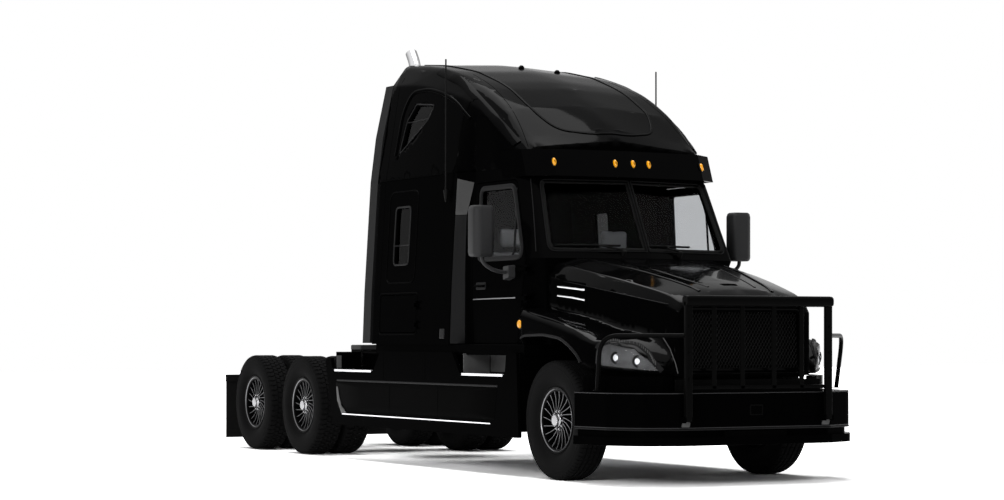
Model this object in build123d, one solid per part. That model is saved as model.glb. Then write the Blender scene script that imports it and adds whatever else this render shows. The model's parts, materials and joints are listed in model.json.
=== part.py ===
from build123d import *
from collections import namedtuple
from math import cos, pi, radians, sin, tan
import os

# Tractor unit with a raised-roof sleeper, six wheels and a grille guard.
# All sizes in millimetres. X runs forward from the front axle, Y to the left, Z up
# from the road. Each piece is moved at the end so that the middle of the length is at zero.

FRAME_SHIFT_X = 3070
SEAT_GAP = 0.3
RUN_GAP = 0.05
OVERLAP = 1
LEAST_ROUND = 1

# Axles and wheels
FIRST_DRIVE_X = -5416
SECOND_DRIVE_X = -6737
TYRE_R = 524
TYRE_SIDE_R = 488
TYRE_BELLY_R = 400
TYRE_BEAD_R = 281
TYRE_BEAD_TOP_R = 294
TYRE_HALF_BELLY = 141
TYRE_HALF_TREAD = 116
TYRE_HALF_BEAD = 104
TYRE_BEAD_PLAY = 1
TYRE_SHOULDER_DROP = 14
GROOVE_DEEP = 14
GROOVE_WIDE = 12
GROOVE_PITCH = 46
GROOVE_SHARES = [-1.5, -0.5, 0.5, 1.5]
RIM_FLANGE_R = 292
RIM_BARREL_R = 280
RIM_WALL = 12
RIM_LIP_WIDE = 12
RIM_SEAT_STEP = 1
SPOKE_COUNT = 15
SPOKE_WIDE = 15
SPOKE_DEEP = 34
SPOKE_OFFSET = 52
HUB_R = 98
HUB_CAP_R = 66
HUB_CAP_LONG = 40
SPINDLE_R = 44
DRUM_R = 206
DRUM_WIDE = 120
FRONT_WHEEL_Y = 1044
TWIN_OUTER_Y = 1068
TWIN_INNER_Y = 738
FRONT_FACE_SET = 92
TWIN_FACE_SET = 84
KINGPIN_Y = 900
KINGPIN_R = 22
KINGPIN_HALF = 90
EYE_HALF = 60
EYE_R = 46
EYE_BORE_HALF = 200
EYE_LINK_IN = 180
EYE_LINK_HALF = 58
STEER_ARM_BACK = 215
TIE_ROD_R = 17
TIE_ROD_Z = 360
ARM_THICK = 26
ARM_DROP = 2
ARM_HALF = 24
TIE_ROD_DROP = 30
TIE_EYE_LOW = 22
BACKPLATE_IN = 62
BACKPLATE_OUT = 100
SPINDLE_END_GAP = 6
FORK_GAP = 10
FORK_THICK = 34
FORK_HALF = 40
STUD_R = 10

# Frame
RAIL_Y = 430
RAIL_TOP = 960
RAIL_HIGH = 262
RAIL_FLANGE = 86
RAIL_WALL = 9
RAIL_FRONT = 930
HORN_FRONT = 1300
HORN_Y = 395
HORN_HALF = 30
HORN_LOW = 560
HORN_HIGH = 722
FRONT_TUBE_X = 1130
RAIL_REAR = -7562.7
CROSS_LONG = 60
CROSS_DROP = 20

CrossMember = namedtuple("CrossMember", "x high")
CROSS_MEMBERS = [
    CrossMember(x=-2300, high=100),
    CrossMember(x=-3560, high=160),
    CrossMember(x=-4700, high=160),
    CrossMember(x=-6076, high=200),
    CrossMember(x=-7520, high=240),
]

# Cab, by level from the sill up
CabRing = namedtuple(
    "CabRing",
    "z nose_x corner_x corner_half front_x front_half flare_x door_half back_x back_half rear_x",
)
CAB_RINGS = [
    CabRing(1180, -470, -490, 930, -830, 1078, -1820, 1080, -1925, 1220, -3660),
    CabRing(1700, -470, -500, 985, -730, 1086, -1805, 1088, -1925, 1200, -3660),
    CabRing(1900, -460, -500, 1000, -700, 1082, -1790, 1086, -1925, 1186, -3660),
    CabRing(1960, -288, -480, 1013, -690, 1078, -1785, 1083, -1925, 1182, -3660),
    CabRing(2700, -675, -822, 925, -990, 1028, -1712, 1050, -1925, 1136, -3660),
    CabRing(2800, -720, -865, 908, -1040, 1018, -1705, 1044, -1925, 1130, -3660),
]
CAB_REST_REAR = [-3540, -3440]
CAB_REST_FRONT = [-900, -820]
CAB_ROUNDS = [300, 70, 120, 15, 15, 60]
CAB_WALL = 60
FLOOR_THICK = 60
SILL_Z = 1180
SEAM_Z = 2800

# Raised roof, by station from the windscreen back
RoofRib = namedtuple("RoofRib", "x base_half side_half side_z crown_half crown_z top_z side_round crown_round")
ROOF_RIBS = [
    RoofRib(-900, 930, 925, 2925, 850, 2990, 3075, 20, 60),
    RoofRib(-1030, 1006, 985, 2990, 900, 3070, 3200, 30, 80),
    RoofRib(-1380, 1030, 1010, 3240, 900, 3370, 3440, 60, 100),
    RoofRib(-1750, 1042, 1022, 3430, 900, 3580, 3630, 70, 110),
    RoofRib(-1960, 1128, 1030, 3510, 900, 3665, 3720, 70, 110),
    RoofRib(-2400, 1130, 1020, 3620, 890, 3810, 3860, 80, 120),
    RoofRib(-3000, 1130, 990, 3740, 860, 3930, 3980, 80, 120),
    RoofRib(-3660, 1130, 962, 3780, 800, 4000, 4045, 80, 120),
]
ROOF_WALL = 40

# Doors and windows as side outlines, lengths from the front axle and heights from the road
SidePoint = namedtuple("SidePoint", "x z")
DOOR_OUTLINE = [
    SidePoint(-1700, 1190), SidePoint(-1700, 2690), SidePoint(-960, 2690),
    SidePoint(-672, 1960), SidePoint(-824, 1190),
]
DOOR_ROUNDS = [20, 40, 60, 60, 40]
DOOR_WINDOW = [
    SidePoint(-1570, 1985), SidePoint(-1570, 2620), SidePoint(-985, 2620), SidePoint(-745, 1985),
]
DOOR_WINDOW_ROUNDS = [60, 60, 80, 90]
SLEEPER_WINDOW = [
    SidePoint(-3180, 1970), SidePoint(-3180, 2515), SidePoint(-2874, 2515), SidePoint(-2874, 1970),
]
SLEEPER_WINDOW_ROUNDS = [40, 40, 40, 40]
LEAF_WINDOW = [
    SidePoint(-3230, 3070), SidePoint(-3155, 3374), SidePoint(-2990, 3525), SidePoint(-2600, 3490),
    SidePoint(-2690, 3381),
]
LEAF_ROUNDS = [20, 120, 60, 30, 200]
HATCH_OUTLINE = [
    SidePoint(-3440, 1290), SidePoint(-3440, 1665), SidePoint(-2640, 1665), SidePoint(-2640, 1290),
]
HATCH_ROUNDS = [30, 30, 30, 30]
PANEL_GAP = 7
GLASS_THICK = 6
GLASS_SET_IN = 22
CUT_IN_Y = 780
CUT_OUT_Y = 1400
SCREEN_LOW_Z = 2035
SCREEN_HIGH_Z = 2672
SCREEN_HALF_LOW = 930
SCREEN_HALF_HIGH = 850
SCREEN_DIVIDER_HALF = 14
SCREEN_ROUNDS = [10, 60, 60, 10]
SCREEN_CUT_FRONT = 0
SCREEN_CUT_BACK = -840

# Cowl quarter between the door and the hood, with its round side lamp
QUARTER_PLAN = [(-815, 1000), (-815, 1082), (-575, 1165), (-575, 1000)]
QUARTER_ROUNDS = [0, 0, 20, 0]
QUARTER_LOW = 1190
QUARTER_HIGH = 1520
SIDE_LAMP_X = -680
SIDE_LAMP_Z = 1368
SIDE_LAMP_R = 40
SIDE_LAMP_IN = 1110
SIDE_LAMP_OUT = 1160

# Hinges of the cab doors and the baggage doors
HingeSet = namedtuple("HingeSet", "x y pin_r eye_r z_rows leaf_rear leaf_step leaf_in cab_front cab_in")
CAB_HINGE = HingeSet(
    x=-655, y=1101, pin_r=7, eye_r=13, z_rows=[1600, 1860], leaf_rear=-830, leaf_step=-770, leaf_in=1060,
    cab_front=-600, cab_in=1040,
)
BAGGAGE_HINGE = HingeSet(
    x=-2634, y=1230, pin_r=4, eye_r=8, z_rows=[1370, 1560], leaf_rear=-2720, leaf_step=-2655, leaf_in=1190,
    cab_front=-2590, cab_in=1190,
)
HINGE_EYE_HIGH = 40
HINGE_PIN_SHARE = 0.7

# Sun visor
VISOR_LOW_Z = 2712
VISOR_HIGH_Z = 2960
VISOR_LEAN = 96
VISOR_PLAN = [(-560, 0), (-632, 790), (-800, 1010), (-1190, 1040)]
VISOR_THICK = 22
VISOR_LAMPS_Y = [-790, -179, 0, 179, 790]
VISOR_LAMP_Z = 2832
VISOR_LAMP_R = 24
VISOR_LAMP_LONG = 26
VISOR_LAMP_START = 2
VISOR_LAMP_RISE = 8

# Hood, by station from the cab forward
HoodRib = namedtuple("HoodRib", "x low_z side_half crease_z shoulder_half shoulder_z bulge_half bulge_z top_z")
HOOD_RIBS = [
    HoodRib(-560, 1240, 985, 1800, 890, 1930, 720, 1975, 1985),
    HoodRib(-300, 1210, 975, 1762, 880, 1895, 690, 1945, 1960),
    HoodRib(350, 1120, 870, 1655, 800, 1775, 560, 1835, 1855),
    HoodRib(900, 1000, 745, 1560, 700, 1655, 430, 1705, 1730),
    HoodRib(1130, 930, 692, 1520, 655, 1600, 386, 1640, 1668),
    HoodRib(1225, 922, 668, 1460, 630, 1530, 370, 1560, 1580),
]
HOOD_HINGE_X = 1200
HOOD_HINGE_Y = 292
HOOD_HINGE_Z = 900
HOOD_PIN_R = 10
HOOD_PIN_LONG = 40
HOOD_LUG_HALF = 15
HOOD_ROUND = 28
HOOD_WALL = 32
HOOD_BACK_GAP = 12
SKIN_LOW_SHARE = 6

FenderRib = namedtuple("FenderRib", "x outer_half low_z crown_z rise_z crown_round")
FENDER_RIBS = [
    FenderRib(-560, 1196, 1180, 1500, 1560, 70),
    FenderRib(50, 1200, 1150, 1400, 1500, 80),
    FenderRib(320, 1196, 1080, 1330, 1440, 80),
    FenderRib(600, 1160, 985, 1220, 1380, 70),
    FenderRib(850, 1060, 968, 1200, 1330, 60),
    FenderRib(1010, 930, 952, 1120, 1270, 50),
    FenderRib(1165, 770, 936, 1010, 1160, 30),
]
FENDER_INNER = 600
ARCH_OUTLINE = [
    SidePoint(-640, 700), SidePoint(-610, 1200), SidePoint(-510, 1252), SidePoint(-137, 1252),
    SidePoint(150, 1222), SidePoint(309, 1153), SidePoint(425, 1070), SidePoint(478, 980),
    SidePoint(520, 700),
]
ARCH_ROUNDS = [0, 40, 60, 100, 60, 60, 60, 30, 0]
ARCH_INNER_Y = 560
GRILLE_HALF = 600
GRILLE_LOW = 950
GRILLE_HIGH = 1500
GRILLE_ROUND = 50
GRILLE_EDGE = 40
GRILLE_FRAME = 26
GRILLE_DEEP = 26
GRILLE_MESH_DEEP = 6
GRILLE_X = 1190
GRILLE_CUT = 128

HEADLAMP_OUTLINE = [
    SidePoint(640, 1010), SidePoint(650, 1150), SidePoint(760, 1205), SidePoint(960, 1160),
    SidePoint(1070, 1060), SidePoint(1140, 958), SidePoint(900, 985),
]
HEADLAMP_ROUNDS = [30, 40, 60, 60, 60, 12, 300]
HEADLAMP_IN_Y = 700
HEADLAMP_GAP = 4
HEADLAMP_DEEP = 48

# Bumper, in plan from the middle outward
BUMPER_PLAN = [(1395, 0), (1395, 770), (1255, 1070), (1010, 1235), (570, 1300)]
BUMPER_ROUNDS = [0, 60, 160, 160, 0]
BumperBand = namedtuple("BumperBand", "low high set_in thick")
BUMPER_BANDS = [
    BumperBand(low=483, high=787, set_in=0, thick=34),
    BumperBand(low=415, high=483, set_in=34, thick=30),
    BumperBand(low=343, high=415, set_in=-12, thick=60),
]
BUMPER_TOP_SHELF = 20
BUMPER_SHELF_DEEP = 120
BUMPER_RETURN = 480
BUMPER_CUT_REAR = -2400
BUMPER_CUT_HALF = 2800
FILLER_PLAN = [(1190, 700), (1165, 790), (1010, 960), (850, 1090), (600, 1180), (535, 1192)]
FILLER_HIGH = 918
FILLER_IN = 24
BRACKET_Y = 395
BRACKET_THICK = 30
BRACKET_SET_IN = 5
TYRE_CLEAR = 90

# Grille guard
GUARD_X = 1440
GUARD_UPRIGHT_Y = 712
GUARD_UPRIGHT_WIDE = 66
GUARD_UPRIGHT_DEEP = 44
GUARD_LOW_Z = 545
GUARD_BAR_TOP = 1600
GUARD_BAR_HIGH = 92
GUARD_BAR_DEEP = 92
GUARD_BAR_ROUND = 38
GUARD_INNER_Y = [-445, -160, 160, 445]
GUARD_INNER_WIDE = 44
GUARD_INNER_DEEP = 14
GUARD_INNER_X = 1425
GUARD_RUNG_Z = 815
GUARD_RUNG_HIGH = 30
LOOP_R = 20
LOOP_Z = 1264
LOOP_BEND_X = 915
LOOP_BEND_Y = 1250
LOOP_FOOT_X = 842
LOOP_FOOT_Y = 1236
LOOP_FOOT_Z = 800
GUARD_PIN_R = 12
GUARD_PIN_Z = 560
GUARD_LUG_THICK = 12
GUARD_LUG_REACH = 24

# Sides between the axles
SKIRT_OUT_Y = 1222
SKIRT_THICK = 34
SKIRT_TOP = 1110
SKIRT_OUTLINE = [
    SidePoint(-560, 348), SidePoint(-600, 1110), SidePoint(-790, 1110), SidePoint(-820, 912),
    SidePoint(-1700, 912), SidePoint(-1860, 1110), SidePoint(-3420, 1110), SidePoint(-3580, 915),
    SidePoint(-4560, 915), SidePoint(-4600, 1040), SidePoint(-4740, 1020), SidePoint(-4540, 348),
]
SKIRT_ROUNDS = [20, 30, 30, 20, 20, 30, 30, 20, 20, 10, 30, 20]
StepTread = namedtuple("StepTread", "rear front z")
STEP_TREADS = [
    StepTread(rear=-1700, front=-820, z=912),
    StepTread(rear=-4560, front=-3580, z=915),
]
TREAD_THICK = 14
TREAD_IN_Y = 900
STEP_RISER_THICK = 8
TANK_R = 305
TANK_Y = 800
TANK_Z = 700
TANK_REAR = -3400
TANK_FRONT = -1750
TANK_SADDLES_X = [-2950, -2150]
SADDLE_HALF = 60
SKIRT_POSTS_X = [-1200, -3900]
SKIRT_POST_LONG = 60
SKIRT_POST_Z = 760
SKIRT_POST_HIGH = 70

# Extenders behind the sleeper, in steps of height
ExtenderRing = namedtuple("ExtenderRing", "z out_half")
EXTENDER_RINGS = [
    ExtenderRing(1190, 1220), ExtenderRing(1700, 1200), ExtenderRing(2815, 1130),
    ExtenderRing(3260, 1072), ExtenderRing(3790, 955),
]
EXTENDER_FRONT = -3660.3
EXTENDER_REAR = -3830
EXTENDER_THICK = 26

# Exhaust stack, fifth wheel, deck, flaps
STACK_X = -3860
STACK_Y = -600
STACK_R = 63
STACK_LOW = 1060
STACK_BEND_Z = 3980
STACK_TIP = (-3965, -600, 4180)
STACK_FOOT_HALF = 100
STACK_FOOT_OUT = -690
STACK_FOOT_IN = -390
STACK_STAY_HALF = 30
STACK_STAY_LOW = 2200
STACK_STAY_HIGH = 2240
MUFFLER_R = 120
MUFFLER_LOW = 1250
MUFFLER_HIGH = 2450
FIFTH_X = -5650
FIFTH_TOP = 1160
FIFTH_PLATE_THICK = 44
FIFTH_HALF = 450
FIFTH_PIVOT_Z = 1070
FIFTH_PIVOT_R = 26
FIFTH_PIVOT_Y = 330
FIFTH_PIVOT_GAP = 8
FIFTH_PIVOT_EYE_R = 44
FIFTH_PIVOT_HALF = 70
FIFTH_EAR_HALF = 60
FIFTH_EAR_DROP = 40
JAW_R = 25.45
JAW_REACH = 60
PlatePoint = namedtuple("PlatePoint", "ahead half round")
FIFTH_PLAN = [
    PlatePoint(400, 250, 40), PlatePoint(140, 450, 60), PlatePoint(-120, 450, 60), PlatePoint(-500, 230, 40),
    PlatePoint(-500, 150, 20), PlatePoint(-60, 27, 10), PlatePoint(0, 27, 0),
]
LUG_THICK = 40
BASE_THICK = 14
BASE_LONG = 760
DECK_THICK = 22
DECK_FRONT = -3975
DECK_REAR = -4640
DECK_HALF = 560
FLAP_X = -7590
FLAP_THICK = 10
FLAP_LOW = 100
FLAP_HIGH = 760
FLAP_IN = 570
FLAP_OUT = 1180
HANGER_R = 22
HANGER_Z = 800
FLAP_CLAMP_REAR = 15
FLAP_CLAMP_FRONT = 25
FLAP_CLAMP_LAP = 20
TAIL_LAMP_Y = [500, 620]
TAIL_LAMP_R = 23
TAIL_LAMP_DROP = 20
TAIL_LAMP_LONG = 24

# Driveline blocks
ENGINE_FRONT = 760
ENGINE_REAR = -420
ENGINE_HALF = 300
ENGINE_LOW = 640
ENGINE_HIGH = 1560
ENGINE_MOUNT_X = 150
ENGINE_MOUNT_LONG = 130
ENGINE_MOUNT_TOP = 790
GEARBOX_REAR = -1500
GEARBOX_HALF = 200
GEARBOX_LOW = 600
GEARBOX_HIGH = 1060
RADIATOR_X = 960
RADIATOR_THICK = 110
RADIATOR_HALF = 500
RADIATOR_LOW = 760
RADIATOR_HIGH = 1470
AXLE_TUBE_R = 75
DIFF_R = 215
AXLE_TUBE_HALF = 560
DRUM_END_Y = 680
SPINDLE_START_Y = 600
PINION_LONG = 330
PINION_RISE = 40
SHAFT_R = 52
SHAFT_FRONT_Z = 800
SHAFT_REACH = 300
SHAFT_RISE = 60
SHAFT_GAP = 3.6
PINION_R = 88
BEAM_HIGH = 90
BEAM_DEEP = 110
BEAM_Z = 440
BEAM_END_IN = 110
SPRING_Y = 430
SPRING_WIDE = 80
SPRING_HALF = 680
SPRING_SAG = 110
SPRING_THICK = 46
SPRING_ROUND = 600
SHACKLE_IN = 20
SHACKLE_HALF = 30
SHACKLE_LAP = 20
BAG_R = 140
BAG_Y = 445
BAG_BACK = 330
BAG_LOW = 440
TRAIL_ARM_WIDE = 90
TRAIL_ARM_BACK = 420
TRAIL_ARM_FRONT = 420
TRAIL_ARM_LOW = 405
TRAIL_ARM_TOP = 445
TRAIL_SEAT_HALF = 70
TRAIL_HANGER_REAR = 340
TRAIL_HANGER_LOW = 400

# Mirrors, antennas
MIRROR_IN = 1292
MIRROR_OUT = 1500
MIRROR_X = -930
MIRROR_DEEP = 150
MIRROR_LOW = 1975
MIRROR_HIGH = 2440
MIRROR_ROUND = 45
MIRROR_BACK_ROUND = 10
MIRROR_ARM_LOW_IN = 1060
MIRROR_ARM_HIGH_IN = 1020
MIRROR_FOOT_HALF = 60
MIRROR_FOOT_IN = 1074
MIRROR_FOOT_OUT = 1120
MIRROR_FOOT_DROP = 90
MIRROR_FOOT_RISE = 60
MIRROR_ARM_R = 17
MIRROR_ARM_LOW_Z = 1850
MIRROR_ARM_HIGH_Z = 2560
ANTENNA_X = -2076
ANTENNA_Y = 1173.1
ANTENNA_LOW = 2640
ANTENNA_HIGH = 3890
ANTENNA_R = 6
ANTENNA_CUP_R = 26
ANTENNA_CUP_HIGH = 110
ANTENNA_LAP = 10

# Inside the cab
SEAT_X = -1560
SEAT_Y = 560
SEAT_HALF = 255
SEAT_LONG = 500
SEAT_Z = 1560
SEAT_PAD = 120
SEAT_BACK_HIGH = 740
SEAT_BACK_THICK = 130
SEAT_POST_HALF = 150
DASH_FRONT = -560
DASH_REAR = -860
DASH_LOW = 1560
DASH_HIGH = 1990
DASH_HALF = 900
DASH_BROW_DROP = 120
DASH_TOP_SET = 60
DASH_ROUNDS = [0, 30, 60, 20, 0]
BUNK_FRONT = -2560
BUNK_REAR = -3580
BUNK_HALF = 1060
BUNK_TOP = 1760
BUNK_PAD = 160
BUNK_CUT_OVER = 10
BUNK_WALL = 30
COLUMN_X = -1010
COLUMN_Z = 1930
COLUMN_Y = 560
COLUMN_LEAN = 38
STEERING_R = 225
STEERING_TUBE = 16
STEERING_HUB_R = 45
STEERING_HUB_HIGH = 50
STEERING_HUB_DROP = 45
STEERING_SPOKE_HALF = 16
STEERING_SPOKE_LOW = -10
STEERING_SPOKE_TOP = 6
STEERING_SPOKE_TURNS = [-30, 90, 210]
COLUMN_R = 27
COLUMN_LONG = 260


def on_xy(z):
    return lambda p: Vector(p.X, p.Y, z)


def on_xz(y):
    return lambda p: Vector(p.X, y, p.Y)


def on_yz(x):
    return lambda p: Vector(x, p.X, p.Y)


def outline(points, rounds, put):
    """Closed face from corner points, each corner rounded by its own radius."""
    count = len(points)
    corners = []
    for i in range(count):
        here = Vector(points[i][0], points[i][1])
        back = (Vector(points[i - 1][0], points[i - 1][1]) - here).normalized()
        ahead = (Vector(points[(i + 1) % count][0], points[(i + 1) % count][1]) - here).normalized()
        r = rounds[i]
        if r == 0:
            corners.append((here, None, here))
            continue
        half = radians(back.get_angle(ahead)) / 2
        reach = r / tan(half)
        centre = here + (back + ahead).normalized() * (r / sin(half))
        middle = centre - (back + ahead).normalized() * r
        corners.append((here + back * reach, middle, here + ahead * reach))
    edges = []
    for i in range(count):
        start, middle, end = corners[i]
        if middle is not None:
            edges.append(Edge.make_three_point_arc(put(start), put(middle), put(end)))
        following = corners[(i + 1) % count][0]
        edges.append(Edge.make_line(put(end), put(following)))
    return Face(Wire(edges))


def block(rear, front, right, left, low, high):
    box = Solid.make_box(front - rear, left - right, high - low)
    return box.moved(Location((rear, right, low)))


def rod(start, end, radius):
    along = Vector(*end) - Vector(*start)
    plane = Plane(origin=Vector(*start), z_dir=along)
    return Solid.make_cylinder(radius, along.length, plane)


def side_prism(points, rounds, right, left):
    face = outline(points, rounds, on_xz(right))
    return Solid.extrude(face, Vector(0, left - right, 0))


def plan_prism(points, rounds, low, high):
    face = outline(points, rounds, on_xy(low))
    return Solid.extrude(face, Vector(0, 0, high - low))


def front_prism(points, rounds, rear, front):
    face = outline(points, rounds, on_yz(rear))
    return Solid.extrude(face, Vector(front - rear, 0, 0))


def grown(points, by):
    """The same outline pushed outward (or inward) by one distance, corner for corner."""
    count = len(points)
    area = sum(
        points[i][0] * points[(i + 1) % count][1] - points[(i + 1) % count][0] * points[i][1]
        for i in range(count)
    )
    turn = 1 if area > 0 else -1
    result = []
    for i in range(count):
        here = Vector(points[i][0], points[i][1])
        back = (here - Vector(points[i - 1][0], points[i - 1][1])).normalized()
        ahead = (Vector(points[(i + 1) % count][0], points[(i + 1) % count][1]) - here).normalized()
        out_back = Vector(back.Y, -back.X) * turn
        out_ahead = Vector(ahead.Y, -ahead.X) * turn
        both = out_back + out_ahead
        move = both * (by * 2 / both.dot(both))
        result.append((here.X + move.X, here.Y + move.Y))
    return result


def both_sides(points):
    """A half outline with y above zero, closed by its mirror image."""
    other = [(x, -y) for x, y in reversed(points) if y != 0]
    return list(points) + other


def both_rounds(points, rounds):
    other = [r for (x, y), r in zip(reversed(points), reversed(rounds)) if y != 0]
    return list(rounds) + other


def flipped(shape):
    return shape.mirror(Plane.XZ)


def pair(shape):
    return [shape, flipped(shape)]


def solids_of(*shapes):
    found = []
    for shape in shapes:
        if isinstance(shape, (list, tuple)):
            found += solids_of(*shape)
        else:
            found += list(shape.solids())
    return found


def joined(*shapes):
    parts = solids_of(*shapes)
    first = parts[0]
    if len(parts) == 1:
        return first
    return first.fuse(*parts[1:])


def without(shape, *tools):
    cutters = solids_of(*tools)
    pieces = solids_of(shape)
    result = []
    for piece in pieces:
        result += solids_of(piece.cut(*cutters))
    return result


def shared(shape, tool):
    found = []
    for piece in solids_of(shape):
        got = piece.intersect(tool)
        if got is not None:
            found += solids_of(*got) if isinstance(got, (list, tuple)) else solids_of(got)
    return found


def save(name, *shapes):
    pieces = [piece.moved(Location((FRAME_SHIFT_X, 0, 0))) for piece in solids_of(*shapes)]
    shape = pieces[0] if len(pieces) == 1 else Compound(children=pieces)
    export_step(shape, f"parts/{name}.step")
    print(name, len(pieces), "solids", round(sum(piece.volume for piece in pieces) / 1e6, 2), "litres")


def revolved(profile, centre_y, x, z):
    """Ring about a wheel's axle: profile rows are radius and sideways offset."""
    points = [Vector(x + r, centre_y + side, z) for r, side in profile]
    edges = [Edge.make_line(points[i], points[(i + 1) % len(points)]) for i in range(len(points))]
    face = Face(Wire(edges))
    return Solid.revolve(face, 360, Axis((x, 0, z), (0, 1, 0)))


def tyre(x, centre_y):
    profile = [
        (TYRE_BEAD_R, -TYRE_HALF_BEAD + TYRE_BEAD_PLAY),
        (TYRE_BEAD_TOP_R, -TYRE_HALF_BEAD + TYRE_BEAD_PLAY),
        (TYRE_BELLY_R, -TYRE_HALF_BELLY),
        (TYRE_SIDE_R, -(TYRE_HALF_BELLY + TYRE_HALF_TREAD) / 2 - RIM_WALL / 2),
        (TYRE_R - TYRE_SHOULDER_DROP, -TYRE_HALF_TREAD - RIM_WALL / 4),
        (TYRE_R, -TYRE_HALF_TREAD + RIM_WALL),
    ]
    for side in GROOVE_SHARES:
        low = side * GROOVE_PITCH - GROOVE_WIDE / 2
        high = side * GROOVE_PITCH + GROOVE_WIDE / 2
        profile += [(TYRE_R, low), (TYRE_R - GROOVE_DEEP, low)]
        profile += [(TYRE_R - GROOVE_DEEP, high), (TYRE_R, high)]
    profile += [(r, -side) for r, side in reversed(profile[:6])]
    return revolved(profile, centre_y, x, TYRE_R)


def rim(x, centre_y, out, face_set, bore_end):
    """Rim with thin slanted spokes; out is the sideways sense of the outer face."""
    half = TYRE_HALF_BEAD
    ring = [
        (RIM_BARREL_R - RIM_WALL, -half), (RIM_FLANGE_R, -half - RIM_LIP_WIDE),
        (RIM_FLANGE_R, -half - RIM_SEAT_STEP), (RIM_BARREL_R, -half),
        (RIM_BARREL_R, half), (RIM_FLANGE_R, half + RIM_SEAT_STEP),
        (RIM_FLANGE_R, half + RIM_LIP_WIDE), (RIM_BARREL_R - RIM_WALL, half),
    ]
    pieces = [revolved(ring, centre_y, x, TYRE_R)]
    face_y = centre_y + out * face_set
    hub_back = centre_y + out * (face_set - SPOKE_DEEP)
    for i in range(SPOKE_COUNT):
        turn = 360 * i / SPOKE_COUNT
        reach = RIM_BARREL_R - RIM_WALL / 2
        spoke = block(0, reach, -SPOKE_DEEP / 2, SPOKE_DEEP / 2, -SPOKE_WIDE / 2, SPOKE_WIDE / 2)
        spoke = spoke.moved(Location((0, 0, SPOKE_OFFSET)))
        spoke = spoke.rotate(Axis.Y, turn)
        pieces.append(spoke.moved(Location((x, (face_y + hub_back) / 2, TYRE_R))))
    hub = rod((x, bore_end, TYRE_R), (x, face_y, TYRE_R), HUB_R)
    cap = rod((x, face_y, TYRE_R), (x, face_y + out * HUB_CAP_LONG, TYRE_R), HUB_CAP_R)
    pieces += [hub, cap]
    return joined(*pieces)


def front_wheel(side):
    x = 0
    y = side * FRONT_WHEEL_Y
    bore_in = y - side * DRUM_WIDE / 4
    wheel = rim(x, y, side, FRONT_FACE_SET, bore_in)
    start = (x, bore_in - side * DRUM_WIDE, TYRE_R)
    bore = rod(start, (x, y + side * DRUM_WIDE / 2, TYRE_R), SPINDLE_R + RUN_GAP)
    return without(wheel, bore), tyre(x, y)


def twin_wheel(x, side):
    outer_y = side * TWIN_OUTER_Y
    inner_y = side * TWIN_INNER_Y
    hub_in = inner_y + side * DRUM_WIDE / 2
    outer = rim(x, outer_y, side, TWIN_FACE_SET, hub_in)
    ring = [
        (RIM_BARREL_R - RIM_WALL, -TYRE_HALF_BEAD), (RIM_FLANGE_R, -TYRE_HALF_BEAD - RIM_LIP_WIDE),
        (RIM_FLANGE_R, -TYRE_HALF_BEAD - RIM_SEAT_STEP), (RIM_BARREL_R, -TYRE_HALF_BEAD),
        (RIM_BARREL_R, TYRE_HALF_BEAD), (RIM_FLANGE_R, TYRE_HALF_BEAD + RIM_SEAT_STEP),
        (RIM_FLANGE_R, TYRE_HALF_BEAD + RIM_LIP_WIDE), (RIM_BARREL_R - RIM_WALL, TYRE_HALF_BEAD),
    ]
    inner = revolved(ring, inner_y, x, TYRE_R)
    disc_y = inner_y + side * (TYRE_HALF_BEAD - RIM_WALL)
    disc = rod((x, disc_y, TYRE_R), (x, disc_y - side * RIM_WALL, TYRE_R), RIM_BARREL_R - RIM_WALL / 2)
    bore = rod((x, hub_in - side * DRUM_WIDE, TYRE_R), (x, outer_y, TYRE_R), SPINDLE_R + RUN_GAP)
    rims = without(joined(outer, inner, disc), bore)
    return rims, [tyre(x, inner_y), tyre(x, outer_y)]


def cab_half(ring):
    return [
        (ring.nose_x, 0), (ring.corner_x, ring.corner_half), (ring.front_x, ring.front_half),
        (ring.flare_x, ring.door_half), (ring.back_x, ring.back_half), (ring.rear_x, ring.back_half),
    ]


def cab_body(by, low=None, high=None):
    """Closed body of the cab, its skin pushed outward by one distance."""
    rings = CAB_RINGS
    wires = []
    for ring in rings:
        z = ring.z
        if low is not None and ring is rings[0]:
            z = low
        if high is not None and ring is rings[-1]:
            z = high
        half = cab_half(ring)
        points = grown(both_sides(half), by)
        rounds = [max(LEAST_ROUND, r + by) for r in both_rounds(half, CAB_ROUNDS)]
        wires.append(outline(points, rounds, on_xy(z)).outer_wire())
    return Solid.make_loft(wires, True)


def cab_room(by):
    """Space between the cab's walls, from below the floor up, drawn in by one distance."""
    return cab_body(-CAB_WALL - by, SILL_Z - FLOOR_THICK, SEAM_Z + CAB_WALL)


def roof_body(by, rear=None, low=None):
    wires = []
    for rib in ROOF_RIBS:
        x = rib.x
        if rib is ROOF_RIBS[0]:
            x = rib.x + by
        if rib is ROOF_RIBS[-1]:
            x = rib.x - by
            if rear is not None:
                x = rear
        half = [
            (0, rib.top_z), (rib.crown_half, rib.crown_z), (rib.side_half, rib.side_z),
            (rib.base_half, SEAM_Z),
        ]
        whole = half + [(-y, z) for y, z in reversed(half[1:])]
        points = grown(whole, by)
        base = SEAM_Z if low is None else low
        points = [(y, base if abs(z - SEAM_Z) < abs(by) + OVERLAP else z) for y, z in points]
        rounds = [0, rib.crown_round + by, rib.side_round + by, 0]
        rounds = [max(0, r) for r in rounds]
        rounds = rounds + list(reversed(rounds[1:]))
        wires.append(outline(points, rounds, on_yz(x)).outer_wire())
    return Solid.make_loft(wires, True)


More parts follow.
